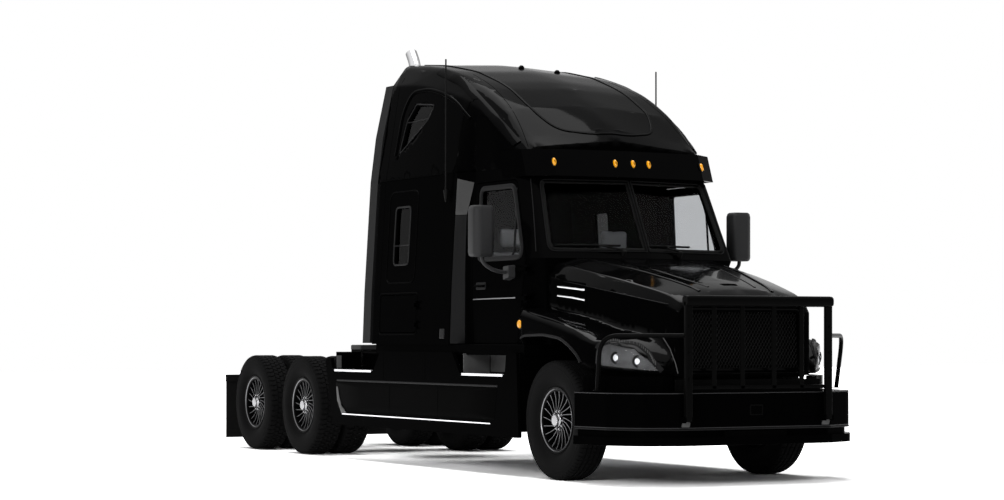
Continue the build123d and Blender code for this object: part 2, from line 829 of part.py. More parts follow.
def hood_body(by):
    wires = []
    for rib in HOOD_RIBS:
        x = rib.x
        if rib is HOOD_RIBS[0]:
            x = rib.x + by
        if rib is HOOD_RIBS[-1]:
            x = rib.x + by
        low = rib.low_z + by * SKIN_LOW_SHARE
        half = [
            (0, rib.top_z + by), (rib.bulge_half, rib.bulge_z + by),
            (rib.shoulder_half + by / 2, rib.shoulder_z + by),
            (rib.side_half + by, rib.crease_z + by / 2), (rib.side_half + by, low),
        ]
        whole = half + [(-y, z) for y, z in reversed(half[1:])]
        rounds = [0, HOOD_ROUND, HOOD_ROUND, HOOD_ROUND, 0]
        rounds = rounds + list(reversed(rounds[1:]))
        wires.append(outline(whole, rounds, on_yz(x)).outer_wire())
    return Solid.make_loft(wires, True)


def fender_body(by):
    """Left fender; the right one is its mirror image."""
    wires = []
    for rib in FENDER_RIBS:
        x = rib.x
        if rib is FENDER_RIBS[0]:
            x = rib.x + by
        if rib is FENDER_RIBS[-1]:
            x = rib.x + by
        low = rib.low_z + by * SKIN_LOW_SHARE
        points = [
            (FENDER_INNER, low), (rib.outer_half + by, low),
            (rib.outer_half + by, rib.crown_z + by), (FENDER_INNER, rib.rise_z + by),
        ]
        wires.append(outline(points, [0, 0, rib.crown_round, 0], on_yz(x)).outer_wire())
    return Solid.make_loft(wires, True)


def hinge_pin(row, z, wider):
    half = HINGE_EYE_HIGH
    return rod((row.x, row.y, z - half), (row.x, row.y, z + half), row.pin_r * HINGE_PIN_SHARE + wider)


def hinge_leaf(row):
    """Moving half of a hinge, with its eye and bore."""
    found = []
    for z in row.z_rows:
        half = HINGE_EYE_HIGH / 2
        found.append(without(
            joined(
                block(row.leaf_rear, row.leaf_step, row.leaf_in, row.y + row.pin_r, z - half, z + half),
                block(
                    row.leaf_step - OVERLAP, row.x, row.y - row.pin_r, row.y + row.pin_r, z - half, z + half,
                ),
                rod((row.x, row.y, z - half), (row.x, row.y, z + half), row.eye_r),
            ),
            hinge_pin(row, z, RUN_GAP),
        ))
    return found


def hinge_post(row):
    """Fixed half of a hinge: two eyes, the pin and the foot on the body."""
    found = []
    for z in row.z_rows:
        half = HINGE_EYE_HIGH / 2
        pieces = [hinge_pin(row, z, 0)]
        for low, high in ((z - 2 * half, z - half - SEAT_GAP), (z + half + SEAT_GAP, z + 2 * half)):
            pieces.append(rod((row.x, row.y, low), (row.x, row.y, high), row.eye_r))
            pieces.append(block(row.x, row.cab_front, row.cab_in, row.y + row.eye_r, low, high))
        found.append(joined(*pieces))
    return found


def make_cab():
    shell = without(cab_body(0), cab_body(-CAB_WALL, SILL_Z + FLOOR_THICK, SEAM_Z + CAB_WALL))
    doors = joined(without(side_prism(DOOR_OUTLINE, DOOR_ROUNDS, CUT_IN_Y, CUT_OUT_Y), cab_room(PANEL_GAP)))
    windows = side_prism(SLEEPER_WINDOW, SLEEPER_WINDOW_ROUNDS, CUT_IN_Y, CUT_OUT_Y)
    hatches = side_prism(HATCH_OUTLINE, HATCH_ROUNDS, CUT_IN_Y, CUT_OUT_Y)
    screens = screen_prisms(0)
    shell = without(shell, pair(doors), pair(windows), pair(hatches), screens)
    quarter = without(plan_prism(QUARTER_PLAN, QUARTER_ROUNDS, QUARTER_LOW, QUARTER_HIGH), doors)
    posts = hinge_post(CAB_HINGE) + hinge_post(BAGGAGE_HINGE)
    inside = cab_body(-CAB_WALL)
    posts = without(posts, inside)
    far_quarter = [flipped(piece) for piece in quarter]
    far_posts = [flipped(piece) for piece in posts]
    return joined(shell, quarter, far_quarter, posts, far_posts)


def screen_prisms(by):
    """Cutting bodies for the two windscreen panes, seen from ahead."""
    points = [
        (SCREEN_DIVIDER_HALF - by, SCREEN_LOW_Z - by), (SCREEN_HALF_LOW + by, SCREEN_LOW_Z - by),
        (SCREEN_HALF_HIGH + by, SCREEN_HIGH_Z + by), (SCREEN_DIVIDER_HALF - by, SCREEN_HIGH_Z + by),
    ]
    pane = front_prism(points, SCREEN_ROUNDS, SCREEN_CUT_BACK, SCREEN_CUT_FRONT)
    return pair(pane)


def skin(set_in, thick):
    return without(cab_body(-set_in), cab_body(-set_in - thick, SILL_Z - CAB_WALL, SEAM_Z + CAB_WALL))


def roof_skin(set_in, thick):
    return without(roof_body(-set_in), roof_body(-set_in - thick, None, SEAM_Z - CAB_WALL))


def make_glass(cab_skin):
    panes = []
    for prism in screen_prisms(-SEAT_GAP):
        panes += shared(cab_skin, prism)
    window = side_prism(grown(SLEEPER_WINDOW, -SEAT_GAP), SLEEPER_WINDOW_ROUNDS, CUT_IN_Y, CUT_OUT_Y)
    leaf = side_prism(grown(LEAF_WINDOW, -SEAT_GAP), LEAF_ROUNDS, CUT_IN_Y, CUT_OUT_Y)
    roof = roof_skin(GLASS_SET_IN, GLASS_THICK)
    for prism in pair(window):
        panes += shared(cab_skin, prism)
    for prism in pair(leaf):
        panes += shared(roof, prism)
    return panes


def make_roof():
    shell = without(roof_body(0), roof_body(-ROOF_WALL, None, SEAM_Z - CAB_WALL))
    leaf = side_prism(LEAF_WINDOW, LEAF_ROUNDS, CUT_IN_Y, CUT_OUT_Y)
    return without(shell, pair(leaf))


def make_door(cab_shell_solid, cab_skin):
    outline_in = grown(DOOR_OUTLINE, -PANEL_GAP)
    prism = side_prism(outline_in, DOOR_ROUNDS, CUT_IN_Y, CUT_OUT_Y)
    window = side_prism(DOOR_WINDOW, DOOR_WINDOW_ROUNDS, CUT_IN_Y, CUT_OUT_Y)
    panel = without(shared(cab_shell_solid, prism), window, cab_room(0))
    panel = joined(panel, hinge_leaf(CAB_HINGE))
    pane = side_prism(grown(DOOR_WINDOW, -SEAT_GAP), DOOR_WINDOW_ROUNDS, CUT_IN_Y, CUT_OUT_Y)
    return panel, shared(cab_skin, pane)


def make_mirror():
    head = plan_prism(
        [
            (MIRROR_X - MIRROR_DEEP / 2, MIRROR_IN), (MIRROR_X + MIRROR_DEEP / 2, MIRROR_IN),
            (MIRROR_X + MIRROR_DEEP / 2, MIRROR_OUT), (MIRROR_X - MIRROR_DEEP / 2, MIRROR_OUT),
        ],
        [MIRROR_BACK_ROUND, MIRROR_ROUND, MIRROR_ROUND, MIRROR_BACK_ROUND], MIRROR_LOW, MIRROR_HIGH,
    )
    middle_y = (MIRROR_IN + MIRROR_OUT) / 2
    low_end = (MIRROR_X, middle_y, MIRROR_LOW + MIRROR_ARM_R)
    high_end = (MIRROR_X, middle_y, MIRROR_HIGH - MIRROR_ARM_R)
    low_arm = rod((MIRROR_X, MIRROR_ARM_LOW_IN, MIRROR_ARM_LOW_Z), low_end, MIRROR_ARM_R)
    high_arm = rod((MIRROR_X, MIRROR_ARM_HIGH_IN, MIRROR_ARM_HIGH_Z), high_end, MIRROR_ARM_R)
    foot = block(
        MIRROR_X - MIRROR_FOOT_HALF, MIRROR_X + MIRROR_FOOT_HALF, MIRROR_FOOT_IN, MIRROR_FOOT_OUT,
        MIRROR_ARM_LOW_Z - MIRROR_FOOT_DROP, MIRROR_ARM_LOW_Z + MIRROR_FOOT_RISE,
    )
    return without(joined(head, low_arm, high_arm, foot), cab_body(0))


def bumper_strip(set_in, thick, low, high):
    """Bent strip that follows the bumper's plan, open at the back."""
    outer = list(BUMPER_PLAN)
    closed = both_sides(outer + [(outer[-1][0] - BUMPER_RETURN, outer[-1][1])])
    rounds = both_rounds(outer + [outer[-1]], BUMPER_ROUNDS + [0])
    face_points = grown(closed, -set_in)
    solid = plan_prism(face_points, rounds, low, high)
    hole_points = grown(closed, -set_in - thick)
    hole_rounds = [max(0, r - thick) for r in rounds]
    hole = plan_prism(hole_points, hole_rounds, low - thick, high + thick)
    back = block(
        BUMPER_CUT_REAR, outer[-1][0], -BUMPER_CUT_HALF, BUMPER_CUT_HALF, low - thick, high + thick,
    )
    return without(solid, hole, back)


def make_bumper():
    strips = [bumper_strip(row.set_in, row.thick, row.low, row.high) for row in BUMPER_BANDS]
    shelf = bumper_strip(0, BUMPER_SHELF_DEEP, BUMPER_BANDS[0].high - BUMPER_TOP_SHELF, BUMPER_BANDS[0].high)
    inner = grown(FILLER_PLAN + [(FILLER_PLAN[-1][0], FILLER_PLAN[0][1])], 0)
    wall_outer = FILLER_PLAN
    wall_inner = [(x - FILLER_IN, y - FILLER_IN) for x, y in reversed(FILLER_PLAN)]
    filler = plan_prism(
        wall_outer + wall_inner, [0] * (2 * len(FILLER_PLAN)),
        BUMPER_BANDS[0].high - BUMPER_TOP_SHELF, FILLER_HIGH,
    )
    floor = plan_prism(
        inner, [0] * len(inner), BUMPER_BANDS[0].high - BUMPER_TOP_SHELF, BUMPER_BANDS[0].high,
    )
    bracket = block(
        HORN_FRONT + SEAT_GAP, BUMPER_PLAN[0][0] - BRACKET_SET_IN,
        BRACKET_Y - BRACKET_THICK, BRACKET_Y + BRACKET_THICK,
        BUMPER_BANDS[0].low + BRACKET_THICK, BUMPER_BANDS[0].high - BRACKET_THICK,
    )
    tyre_room = rod((0, KINGPIN_Y, 0), (0, KINGPIN_Y, TYRE_R * 2), TYRE_R + TYRE_CLEAR)
    floor = without(floor, tyre_room)
    lugs = []
    for sense in (-1, 1):
        y = GUARD_UPRIGHT_Y + sense * (GUARD_UPRIGHT_WIDE / 2 + GUARD_LUG_THICK / 2 + SEAT_GAP)
        lugs.append(block(
            BUMPER_PLAN[0][0] - GUARD_LUG_THICK, GUARD_X + GUARD_LUG_REACH,
            y - GUARD_LUG_THICK / 2, y + GUARD_LUG_THICK / 2,
            GUARD_PIN_Z - GUARD_LUG_REACH, GUARD_PIN_Z + GUARD_LUG_REACH,
        ))
    reach = GUARD_UPRIGHT_WIDE / 2 + GUARD_LUG_THICK
    pin_start = (GUARD_X, GUARD_UPRIGHT_Y - reach, GUARD_PIN_Z)
    lugs.append(rod(pin_start, (GUARD_X, GUARD_UPRIGHT_Y + reach, GUARD_PIN_Z), GUARD_PIN_R))
    lug = joined(*lugs)
    return joined(strips, shelf, pair(filler), [flipped(f) for f in floor], floor, pair(bracket), pair(lug))


def make_hood():
    outer = joined(hood_body(0), pair(fender_body(0)))
    inner = joined(hood_body(-HOOD_WALL), pair(fender_body(-HOOD_WALL)))
    shell = without(outer, inner)
    ring = CAB_RINGS[3]
    half = cab_half(ring)
    points = grown(both_sides(half), HOOD_BACK_GAP)
    clear = plan_prism(points, both_rounds(half, CAB_ROUNDS), SILL_Z - CUT_IN_Y, SEAM_Z)
    arch = side_prism(ARCH_OUTLINE, ARCH_ROUNDS, ARCH_INNER_Y, CUT_OUT_Y)
    hole = front_prism(
        [
            (-GRILLE_HALF, GRILLE_LOW), (GRILLE_HALF, GRILLE_LOW),
            (GRILLE_HALF - GRILLE_EDGE / 2, GRILLE_HIGH), (-GRILLE_HALF + GRILLE_EDGE / 2, GRILLE_HIGH),
        ],
        [GRILLE_ROUND] * 4, GRILLE_X - GRILLE_CUT, GRILLE_X + GRILLE_CUT,
    )
    lamp = side_prism(HEADLAMP_OUTLINE, HEADLAMP_ROUNDS, HEADLAMP_IN_Y, CUT_OUT_Y)
    body = without(shell, clear, pair(arch), hole, pair(lamp))
    low_y = HOOD_HINGE_Y + HOOD_LUG_HALF / 2 + SEAT_GAP
    lug = block(
        HOOD_HINGE_X - HOOD_LUG_HALF, HOOD_HINGE_X + HOOD_LUG_HALF, low_y, low_y + 2 * HOOD_LUG_HALF,
        HOOD_HINGE_Z - HOOD_LUG_HALF, HOOD_HINGE_Z + 2 * HOOD_LUG_HALF,
    )
    bore_end = (HOOD_HINGE_X, CUT_OUT_Y, HOOD_HINGE_Z)
    bore = rod((HOOD_HINGE_X, -CUT_OUT_Y, HOOD_HINGE_Z), bore_end, HOOD_PIN_R + RUN_GAP)
    return without(joined(body, pair(lug)), bore)


def make_headlamps():
    outer = joined(hood_body(-HEADLAMP_GAP), pair(fender_body(-HEADLAMP_GAP)))
    inner = joined(hood_body(-HEADLAMP_DEEP), pair(fender_body(-HEADLAMP_DEEP)))
    skin_piece = without(outer, inner)
    lamp = side_prism(grown(HEADLAMP_OUTLINE, -SEAT_GAP), HEADLAMP_ROUNDS, HEADLAMP_IN_Y, CUT_OUT_Y)
    found = []
    for prism in pair(lamp):
        found += shared(skin_piece, prism)
    return found


def make_grille():
    points = [
        (-GRILLE_HALF, GRILLE_LOW), (GRILLE_HALF, GRILLE_LOW),
        (GRILLE_HALF - GRILLE_EDGE / 2, GRILLE_HIGH), (-GRILLE_HALF + GRILLE_EDGE / 2, GRILLE_HIGH),
    ]
    rounds = [GRILLE_ROUND] * 4
    edge = front_prism(grown(points, -SEAT_GAP), rounds, GRILLE_X - GRILLE_DEEP, GRILLE_X + GRILLE_DEEP)
    within = grown(points, -SEAT_GAP - GRILLE_FRAME)
    hole = front_prism(within, rounds, GRILLE_X - 2 * GRILLE_DEEP, GRILLE_X + 2 * GRILLE_DEEP)
    mesh_points = grown(points, -GRILLE_FRAME)
    mesh = front_prism(mesh_points, rounds, GRILLE_X - GRILLE_MESH_DEEP, GRILLE_X + GRILLE_MESH_DEEP)
    return joined(without(edge, hole), mesh)


def make_guard():
    half = GUARD_UPRIGHT_Y + GUARD_UPRIGHT_WIDE / 2
    bar = front_prism(
        [
            (-half, GUARD_BAR_TOP - GUARD_BAR_HIGH), (half, GUARD_BAR_TOP - GUARD_BAR_HIGH),
            (half, GUARD_BAR_TOP), (-half, GUARD_BAR_TOP),
        ],
        [0, 0, GUARD_BAR_ROUND, GUARD_BAR_ROUND],
        GUARD_X - GUARD_BAR_DEEP / 2, GUARD_X + GUARD_BAR_DEEP / 2,
    )
    pieces = [bar]
    for side in (-1, 1):
        y = side * GUARD_UPRIGHT_Y
        pieces.append(block(
            GUARD_X - GUARD_UPRIGHT_DEEP / 2, GUARD_X + GUARD_UPRIGHT_DEEP / 2,
            y - GUARD_UPRIGHT_WIDE / 2, y + GUARD_UPRIGHT_WIDE / 2,
            GUARD_LOW_Z, GUARD_BAR_TOP - GUARD_BAR_HIGH,
        ))
        corner = (LOOP_BEND_X, side * LOOP_BEND_Y, LOOP_Z)
        top = rod((GUARD_X, y, LOOP_Z), corner, LOOP_R)
        leg = rod(corner, (LOOP_FOOT_X, side * LOOP_FOOT_Y, LOOP_FOOT_Z), LOOP_R)
        knuckle = Solid.make_sphere(LOOP_R).moved(Location(corner))
        pieces += [top, leg, knuckle]
    for y in GUARD_INNER_Y:
        pieces.append(block(
            GUARD_INNER_X - GUARD_INNER_DEEP / 2, GUARD_INNER_X + GUARD_INNER_DEEP / 2,
            y - GUARD_INNER_WIDE / 2, y + GUARD_INNER_WIDE / 2,
            GUARD_RUNG_Z, GUARD_BAR_TOP - GUARD_BAR_HIGH + OVERLAP,
        ))
    pieces.append(block(
        GUARD_INNER_X - GUARD_INNER_DEEP / 2, GUARD_INNER_X + GUARD_INNER_DEEP / 2,
        -GUARD_UPRIGHT_Y, GUARD_UPRIGHT_Y, GUARD_RUNG_Z, GUARD_RUNG_Z + GUARD_RUNG_HIGH,
    ))
    bore = rod((GUARD_X, -CUT_OUT_Y, GUARD_PIN_Z), (GUARD_X, CUT_OUT_Y, GUARD_PIN_Z), GUARD_PIN_R + RUN_GAP)
    return without(joined(*pieces), bore)


def make_frame():
    outer = [
        (RAIL_Y, RAIL_TOP), (RAIL_Y, RAIL_TOP - RAIL_HIGH),
        (RAIL_Y - RAIL_FLANGE, RAIL_TOP - RAIL_HIGH),
        (RAIL_Y - RAIL_FLANGE, RAIL_TOP - RAIL_HIGH + RAIL_WALL),
        (RAIL_Y - RAIL_WALL, RAIL_TOP - RAIL_HIGH + RAIL_WALL),
        (RAIL_Y - RAIL_WALL, RAIL_TOP - RAIL_WALL),
        (RAIL_Y - RAIL_FLANGE, RAIL_TOP - RAIL_WALL), (RAIL_Y - RAIL_FLANGE, RAIL_TOP),
    ]
    rail = front_prism(outer, [0] * len(outer), RAIL_REAR, RAIL_FRONT)
    pieces = pair(rail)
    for row in CROSS_MEMBERS:
        high = RAIL_TOP - CROSS_DROP
        pieces.append(block(
            row.x - CROSS_LONG / 2, row.x + CROSS_LONG / 2,
            -RAIL_Y + RAIL_WALL / 2, RAIL_Y - RAIL_WALL / 2, high - row.high, high,
        ))
    for side in (-1, 1):
        for x in SKIRT_POSTS_X:
            pieces.append(block(
                x - SKIRT_POST_LONG / 2, x + SKIRT_POST_LONG / 2,
                min(side * RAIL_Y, side * (SKIRT_OUT_Y - SKIRT_THICK)),
                max(side * RAIL_Y, side * (SKIRT_OUT_Y - SKIRT_THICK)),
                SKIRT_POST_Z, SKIRT_POST_Z + SKIRT_POST_HIGH,
            ))
    for side in (-1, 1):
        y = side * HORN_Y
        pieces.append(block(
            RAIL_FRONT - CROSS_LONG, HORN_FRONT, y - HORN_HALF, y + HORN_HALF, HORN_LOW, HORN_HIGH,
        ))
    pieces.append(block(
        FRONT_TUBE_X - CROSS_LONG / 2, FRONT_TUBE_X + CROSS_LONG / 2, -HORN_Y, HORN_Y,
        HORN_LOW + CROSS_DROP, HORN_HIGH - CROSS_DROP,
    ))
    for side in (-1, 1):
        near = side * RAIL_Y
        far = side * (TANK_Y - TANK_R - SEAT_GAP)
        for x in TANK_SADDLES_X:
            pieces.append(block(
                x - SKIRT_POST_LONG / 2, x + SKIRT_POST_LONG / 2, min(near, far), max(near, far),
                TANK_Z - SADDLE_HALF, TANK_Z + SADDLE_HALF,
            ))
        y = side * HORN_Y
        pieces.append(block(
            RADIATOR_X + HORN_HALF, RADIATOR_X + 2 * HORN_HALF, y - HORN_HALF, y + HORN_HALF,
            HORN_HIGH - OVERLAP, RADIATOR_LOW - SEAT_GAP,
        ))
        y = side * HOOD_HINGE_Y
        pin_start = (HOOD_HINGE_X, y, HOOD_HINGE_Z)
        pieces.append(joined(
            block(FRONT_TUBE_X, HOOD_HINGE_X + HOOD_LUG_HALF, y - HOOD_LUG_HALF / 2, y + HOOD_LUG_HALF / 2,
                  HORN_LOW + CROSS_LONG, HOOD_HINGE_Z + HOOD_LUG_HALF),
            rod(pin_start, (HOOD_HINGE_X, y + side * HOOD_PIN_LONG, HOOD_HINGE_Z), HOOD_PIN_R),
        ))
    cab_rest_rear = block(CAB_REST_REAR[0], CAB_REST_REAR[1], -RAIL_Y, RAIL_Y, RAIL_TOP - OVERLAP, SILL_Z)
    cab_rest_front = block(
        CAB_REST_FRONT[0], CAB_REST_FRONT[1], RAIL_Y - RAIL_FLANGE, RAIL_Y, RAIL_TOP - OVERLAP, SILL_Z,
    )
    pieces += [cab_rest_rear] + pair(cab_rest_front)
    return joined(*pieces)


def make_front_axle():
    beam_half = KINGPIN_Y - BEAM_END_IN
    beam = block(
        -BEAM_DEEP / 2, BEAM_DEEP / 2, -beam_half, beam_half, BEAM_Z - BEAM_HIGH / 2, BEAM_Z + BEAM_HIGH / 2,
    )
    pieces = [beam]
    for side in (-1, 1):
        y = side * KINGPIN_Y
        eye = rod((0, y, TYRE_R - EYE_HALF), (0, y, TYRE_R + EYE_HALF), EYE_R)
        hole = rod((0, y, TYRE_R - EYE_BORE_HALF), (0, y, TYRE_R + EYE_BORE_HALF), KINGPIN_R + RUN_GAP)
        link_y = side * (KINGPIN_Y - EYE_LINK_IN)
        link = block(
            -BEAM_DEEP / 3, BEAM_DEEP / 3, min(y, link_y), max(y, link_y),
            TYRE_R - EYE_LINK_HALF, TYRE_R + EYE_LINK_HALF,
        )
        pieces += without(joined(eye, link), hole)
        pieces[0] = joined(*without(pieces[0], hole))
        sp_y = side * SPRING_Y
        low = BEAM_Z + BEAM_HIGH / 2
        points = [
            (-SPRING_HALF, low + SPRING_SAG), (0, low), (SPRING_HALF, low + SPRING_SAG),
            (SPRING_HALF, low + SPRING_SAG + SPRING_THICK / 2), (0, low + SPRING_THICK),
            (-SPRING_HALF, low + SPRING_SAG + SPRING_THICK / 2),
        ]
        pieces.append(block(
            -BEAM_DEEP / 2, BEAM_DEEP / 2, sp_y - SPRING_WIDE / 2, sp_y + SPRING_WIDE / 2,
            low - OVERLAP, low + SPRING_THICK,
        ))
        rounds = [0, SPRING_ROUND, 0, 0, SPRING_ROUND, 0]
        spring = side_prism(points, rounds, sp_y - SPRING_WIDE / 2, sp_y + SPRING_WIDE / 2)
        pieces.append(spring)
        for x in (-SPRING_HALF + SHACKLE_IN, SPRING_HALF - SHACKLE_IN):
            pieces.append(block(
                x - SHACKLE_HALF, x + SHACKLE_HALF, sp_y - SPRING_WIDE / 2, sp_y + SPRING_WIDE / 2,
                low + SPRING_SAG - SHACKLE_LAP, RAIL_TOP - RAIL_HIGH,
            ))
    return joined(*pieces)


def make_knuckle(side):
    y = side * KINGPIN_Y
    plate_in = side * (KINGPIN_Y + BACKPLATE_IN)
    plate_out = side * (KINGPIN_Y + BACKPLATE_OUT)
    spindle_end = side * (FRONT_WHEEL_Y + DRUM_WIDE / 2 - SPINDLE_END_GAP)
    spindle = rod((0, plate_in, TYRE_R), (0, spindle_end, TYRE_R), SPINDLE_R)
    plate = rod((0, plate_in, TYRE_R), (0, plate_out, TYRE_R), DRUM_R)
    pieces = [spindle, plate]
    fork_y = y - side * FORK_HALF
    for z in (TYRE_R - EYE_HALF - FORK_GAP - FORK_THICK, TYRE_R + EYE_HALF + FORK_GAP):
        pieces.append(block(
            -FORK_HALF, FORK_HALF, min(fork_y, plate_out), max(fork_y, plate_out), z, z + FORK_THICK,
        ))
    pin = rod((0, y, TYRE_R - KINGPIN_HALF), (0, y, TYRE_R + KINGPIN_HALF), KINGPIN_R)
    low = TIE_ROD_Z - ARM_THICK / 2 - ARM_DROP
    high = low + ARM_THICK
    arm = joined(
        block(-FORK_HALF, FORK_HALF, min(y, plate_out), max(y, plate_out), low, high),
        block(-STEER_ARM_BACK, FORK_HALF, y - ARM_HALF, y + ARM_HALF, low, high),
        rod((-STEER_ARM_BACK, y, low), (-STEER_ARM_BACK, y, high), ARM_HALF),
    )
    pieces += [pin, arm]
    bore = rod((-STEER_ARM_BACK, y, 0), (-STEER_ARM_BACK, y, TIE_ROD_Z + ARM_THICK), STUD_R + RUN_GAP)
    return without(joined(*pieces), bore)


def make_tie_rod():
    x = -STEER_ARM_BACK
    arm_low = TIE_ROD_Z - ARM_THICK / 2 - ARM_DROP
    z = arm_low - TIE_ROD_DROP
    top = arm_low - SEAT_GAP
    pieces = [rod((x, -KINGPIN_Y, z), (x, KINGPIN_Y, z), TIE_ROD_R)]
    for y in (-KINGPIN_Y, KINGPIN_Y):
        pieces.append(rod((x, y, z - TIE_EYE_LOW), (x, y, top), ARM_HALF))
        pieces.append(rod((x, y, z), (x, y, top + ARM_THICK), STUD_R))
    return joined(*pieces)


def make_drive_axles():
    result = []
    for x in (FIRST_DRIVE_X, SECOND_DRIVE_X):
        tube = rod((x, -AXLE_TUBE_HALF, TYRE_R), (x, AXLE_TUBE_HALF, TYRE_R), AXLE_TUBE_R)
        ball = Solid.make_sphere(DIFF_R).moved(Location((x, 0, TYRE_R)))
        nose = rod((x, 0, TYRE_R + PINION_RISE), (x + PINION_LONG, 0, TYRE_R + SHAFT_RISE), PINION_R)
        pieces = [tube, ball, nose]
        for side in (-1, 1):
            pieces.append(rod((x, side * AXLE_TUBE_HALF, TYRE_R), (x, side * DRUM_END_Y, TYRE_R), DRUM_R))
            end = side * (TWIN_OUTER_Y - SPINDLE_END_GAP)
            pieces.append(rod((x, side * SPINDLE_START_Y, TYRE_R), (x, end, TYRE_R), SPINDLE_R))
        result.append(joined(*pieces))
    nose_z = TYRE_R + SHAFT_RISE
    start = (GEARBOX_REAR - SHAFT_GAP, 0, SHAFT_FRONT_Z)
    shaft = rod(start, (FIRST_DRIVE_X + SHAFT_REACH, 0, nose_z), SHAFT_R)
    middle = (FIRST_DRIVE_X - DIFF_R / 2, 0, nose_z)
    link = rod(middle, (SECOND_DRIVE_X + SHAFT_REACH, 0, nose_z), SHAFT_R)
    return joined(result, shaft, link)


def make_rear_suspension():
    pieces = []
    rail_low = RAIL_TOP - RAIL_HIGH
    for x in (FIRST_DRIVE_X, SECOND_DRIVE_X):
        for side in (-1, 1):
            y = side * BAG_Y
            near = y - TRAIL_ARM_WIDE / 2
            far = y + TRAIL_ARM_WIDE / 2
            front = x + TRAIL_ARM_FRONT
            arm = block(x - TRAIL_ARM_BACK, front, near, far, TRAIL_ARM_LOW, TRAIL_ARM_TOP)
            seat = block(
                x - TRAIL_SEAT_HALF, x + TRAIL_SEAT_HALF, near, far, TRAIL_ARM_TOP, TYRE_R - AXLE_TUBE_R,
            )
            hanger = block(x + TRAIL_HANGER_REAR, front, near, far, TRAIL_HANGER_LOW, rail_low)
            bag = rod((x - BAG_BACK, y, BAG_LOW), (x - BAG_BACK, y, rail_low), BAG_R)
            pieces.append(joined(arm, seat, hanger, bag))
    return pieces


def make_skirts():
    side = side_prism(SKIRT_OUTLINE, SKIRT_ROUNDS, SKIRT_OUT_Y - SKIRT_THICK, SKIRT_OUT_Y)
    parts = [side]
    for row in STEP_TREADS:
        parts.append(block(
            row.rear, row.front, TREAD_IN_Y, SKIRT_OUT_Y - SKIRT_THICK, row.z - TREAD_THICK, row.z,
        ))
        parts.append(block(
            row.rear, row.front, TREAD_IN_Y, TREAD_IN_Y + STEP_RISER_THICK, row.z - TREAD_THICK, SKIRT_TOP,
        ))
    return pair(joined(*parts))


def make_extenders():
    wires = []
    for row in EXTENDER_RINGS:
        points = [
            (EXTENDER_REAR, row.out_half - EXTENDER_THICK), (EXTENDER_FRONT, row.out_half - EXTENDER_THICK),
            (EXTENDER_FRONT, row.out_half), (EXTENDER_REAR, row.out_half),
        ]
        wires.append(outline(points, [0] * 4, on_xy(row.z)).outer_wire())
    return pair(Solid.make_loft(wires, True))


def make_stack():
    bend = (STACK_X, STACK_Y, STACK_BEND_Z)
    low = rod((STACK_X, STACK_Y, STACK_LOW), (STACK_X, STACK_Y, MUFFLER_LOW), STACK_R)
    muffler = rod((STACK_X, STACK_Y, MUFFLER_LOW), (STACK_X, STACK_Y, MUFFLER_HIGH), MUFFLER_R)
    pipe = rod((STACK_X, STACK_Y, MUFFLER_HIGH), bend, STACK_R)
    tip = rod(bend, STACK_TIP, STACK_R)
    ball = Solid.make_sphere(STACK_R).moved(Location(bend))
    foot = block(
        STACK_X - STACK_FOOT_HALF, STACK_X + STACK_FOOT_HALF, STACK_FOOT_OUT, STACK_FOOT_IN,
        RAIL_TOP, STACK_LOW,
    )
    stay = block(
        STACK_X, EXTENDER_FRONT, STACK_Y - STACK_STAY_HALF, STACK_Y + STACK_STAY_HALF,
        STACK_STAY_LOW, STACK_STAY_HIGH,
    )
    return joined(low, muffler, pipe, ball, tip, foot, stay)


def make_fifth_base():
    base = block(
        FIFTH_X - BASE_LONG / 2, FIFTH_X + BASE_LONG / 2, -RAIL_Y, RAIL_Y, RAIL_TOP, RAIL_TOP + BASE_THICK,
    )
    pieces = [base]
    for side in (-1, 1):
        y = side * (FIFTH_PIVOT_Y + LUG_THICK / 2 + FIFTH_PIVOT_GAP)
        near = y - LUG_THICK / 2
        far = y + LUG_THICK / 2
        pieces.append(block(
            FIFTH_X - FIFTH_PIVOT_HALF, FIFTH_X + FIFTH_PIVOT_HALF, near, far, RAIL_TOP, FIFTH_PIVOT_Z,
        ))
        pieces.append(rod((FIFTH_X, near, FIFTH_PIVOT_Z), (FIFTH_X, far, FIFTH_PIVOT_Z), FIFTH_PIVOT_EYE_R))
    start = (FIFTH_X, -FIFTH_HALF, FIFTH_PIVOT_Z)
    hole = rod(start, (FIFTH_X, FIFTH_HALF, FIFTH_PIVOT_Z), FIFTH_PIVOT_R + RUN_GAP)
    return without(joined(*pieces), hole)


def make_fifth_plate():
    points = both_sides([(FIFTH_X + row.ahead, row.half) for row in FIFTH_PLAN])
    rounds = [row.round for row in FIFTH_PLAN]
    low = FIFTH_TOP - FIFTH_PLATE_THICK
    plate = plan_prism(points, rounds + list(reversed(rounds)), low, FIFTH_TOP)
    jaw = rod((FIFTH_X, 0, low - JAW_REACH), (FIFTH_X, 0, FIFTH_TOP + JAW_REACH), JAW_R)
    pieces = [plate]
    for side in (-1, 1):
        y = side * (FIFTH_PIVOT_Y - LUG_THICK / 2)
        pieces.append(block(
            FIFTH_X - FIFTH_EAR_HALF, FIFTH_X + FIFTH_EAR_HALF, y - LUG_THICK / 2, y + LUG_THICK / 2,
            FIFTH_PIVOT_Z - FIFTH_EAR_DROP, low + OVERLAP,
        ))
        inner = side * (FIFTH_PIVOT_Y - LUG_THICK)
        outer = side * (FIFTH_PIVOT_Y + LUG_THICK + FIFTH_PIVOT_GAP)
        pieces.append(rod((FIFTH_X, inner, FIFTH_PIVOT_Z), (FIFTH_X, outer, FIFTH_PIVOT_Z), FIFTH_PIVOT_R))
    return without(joined(*pieces), jaw)


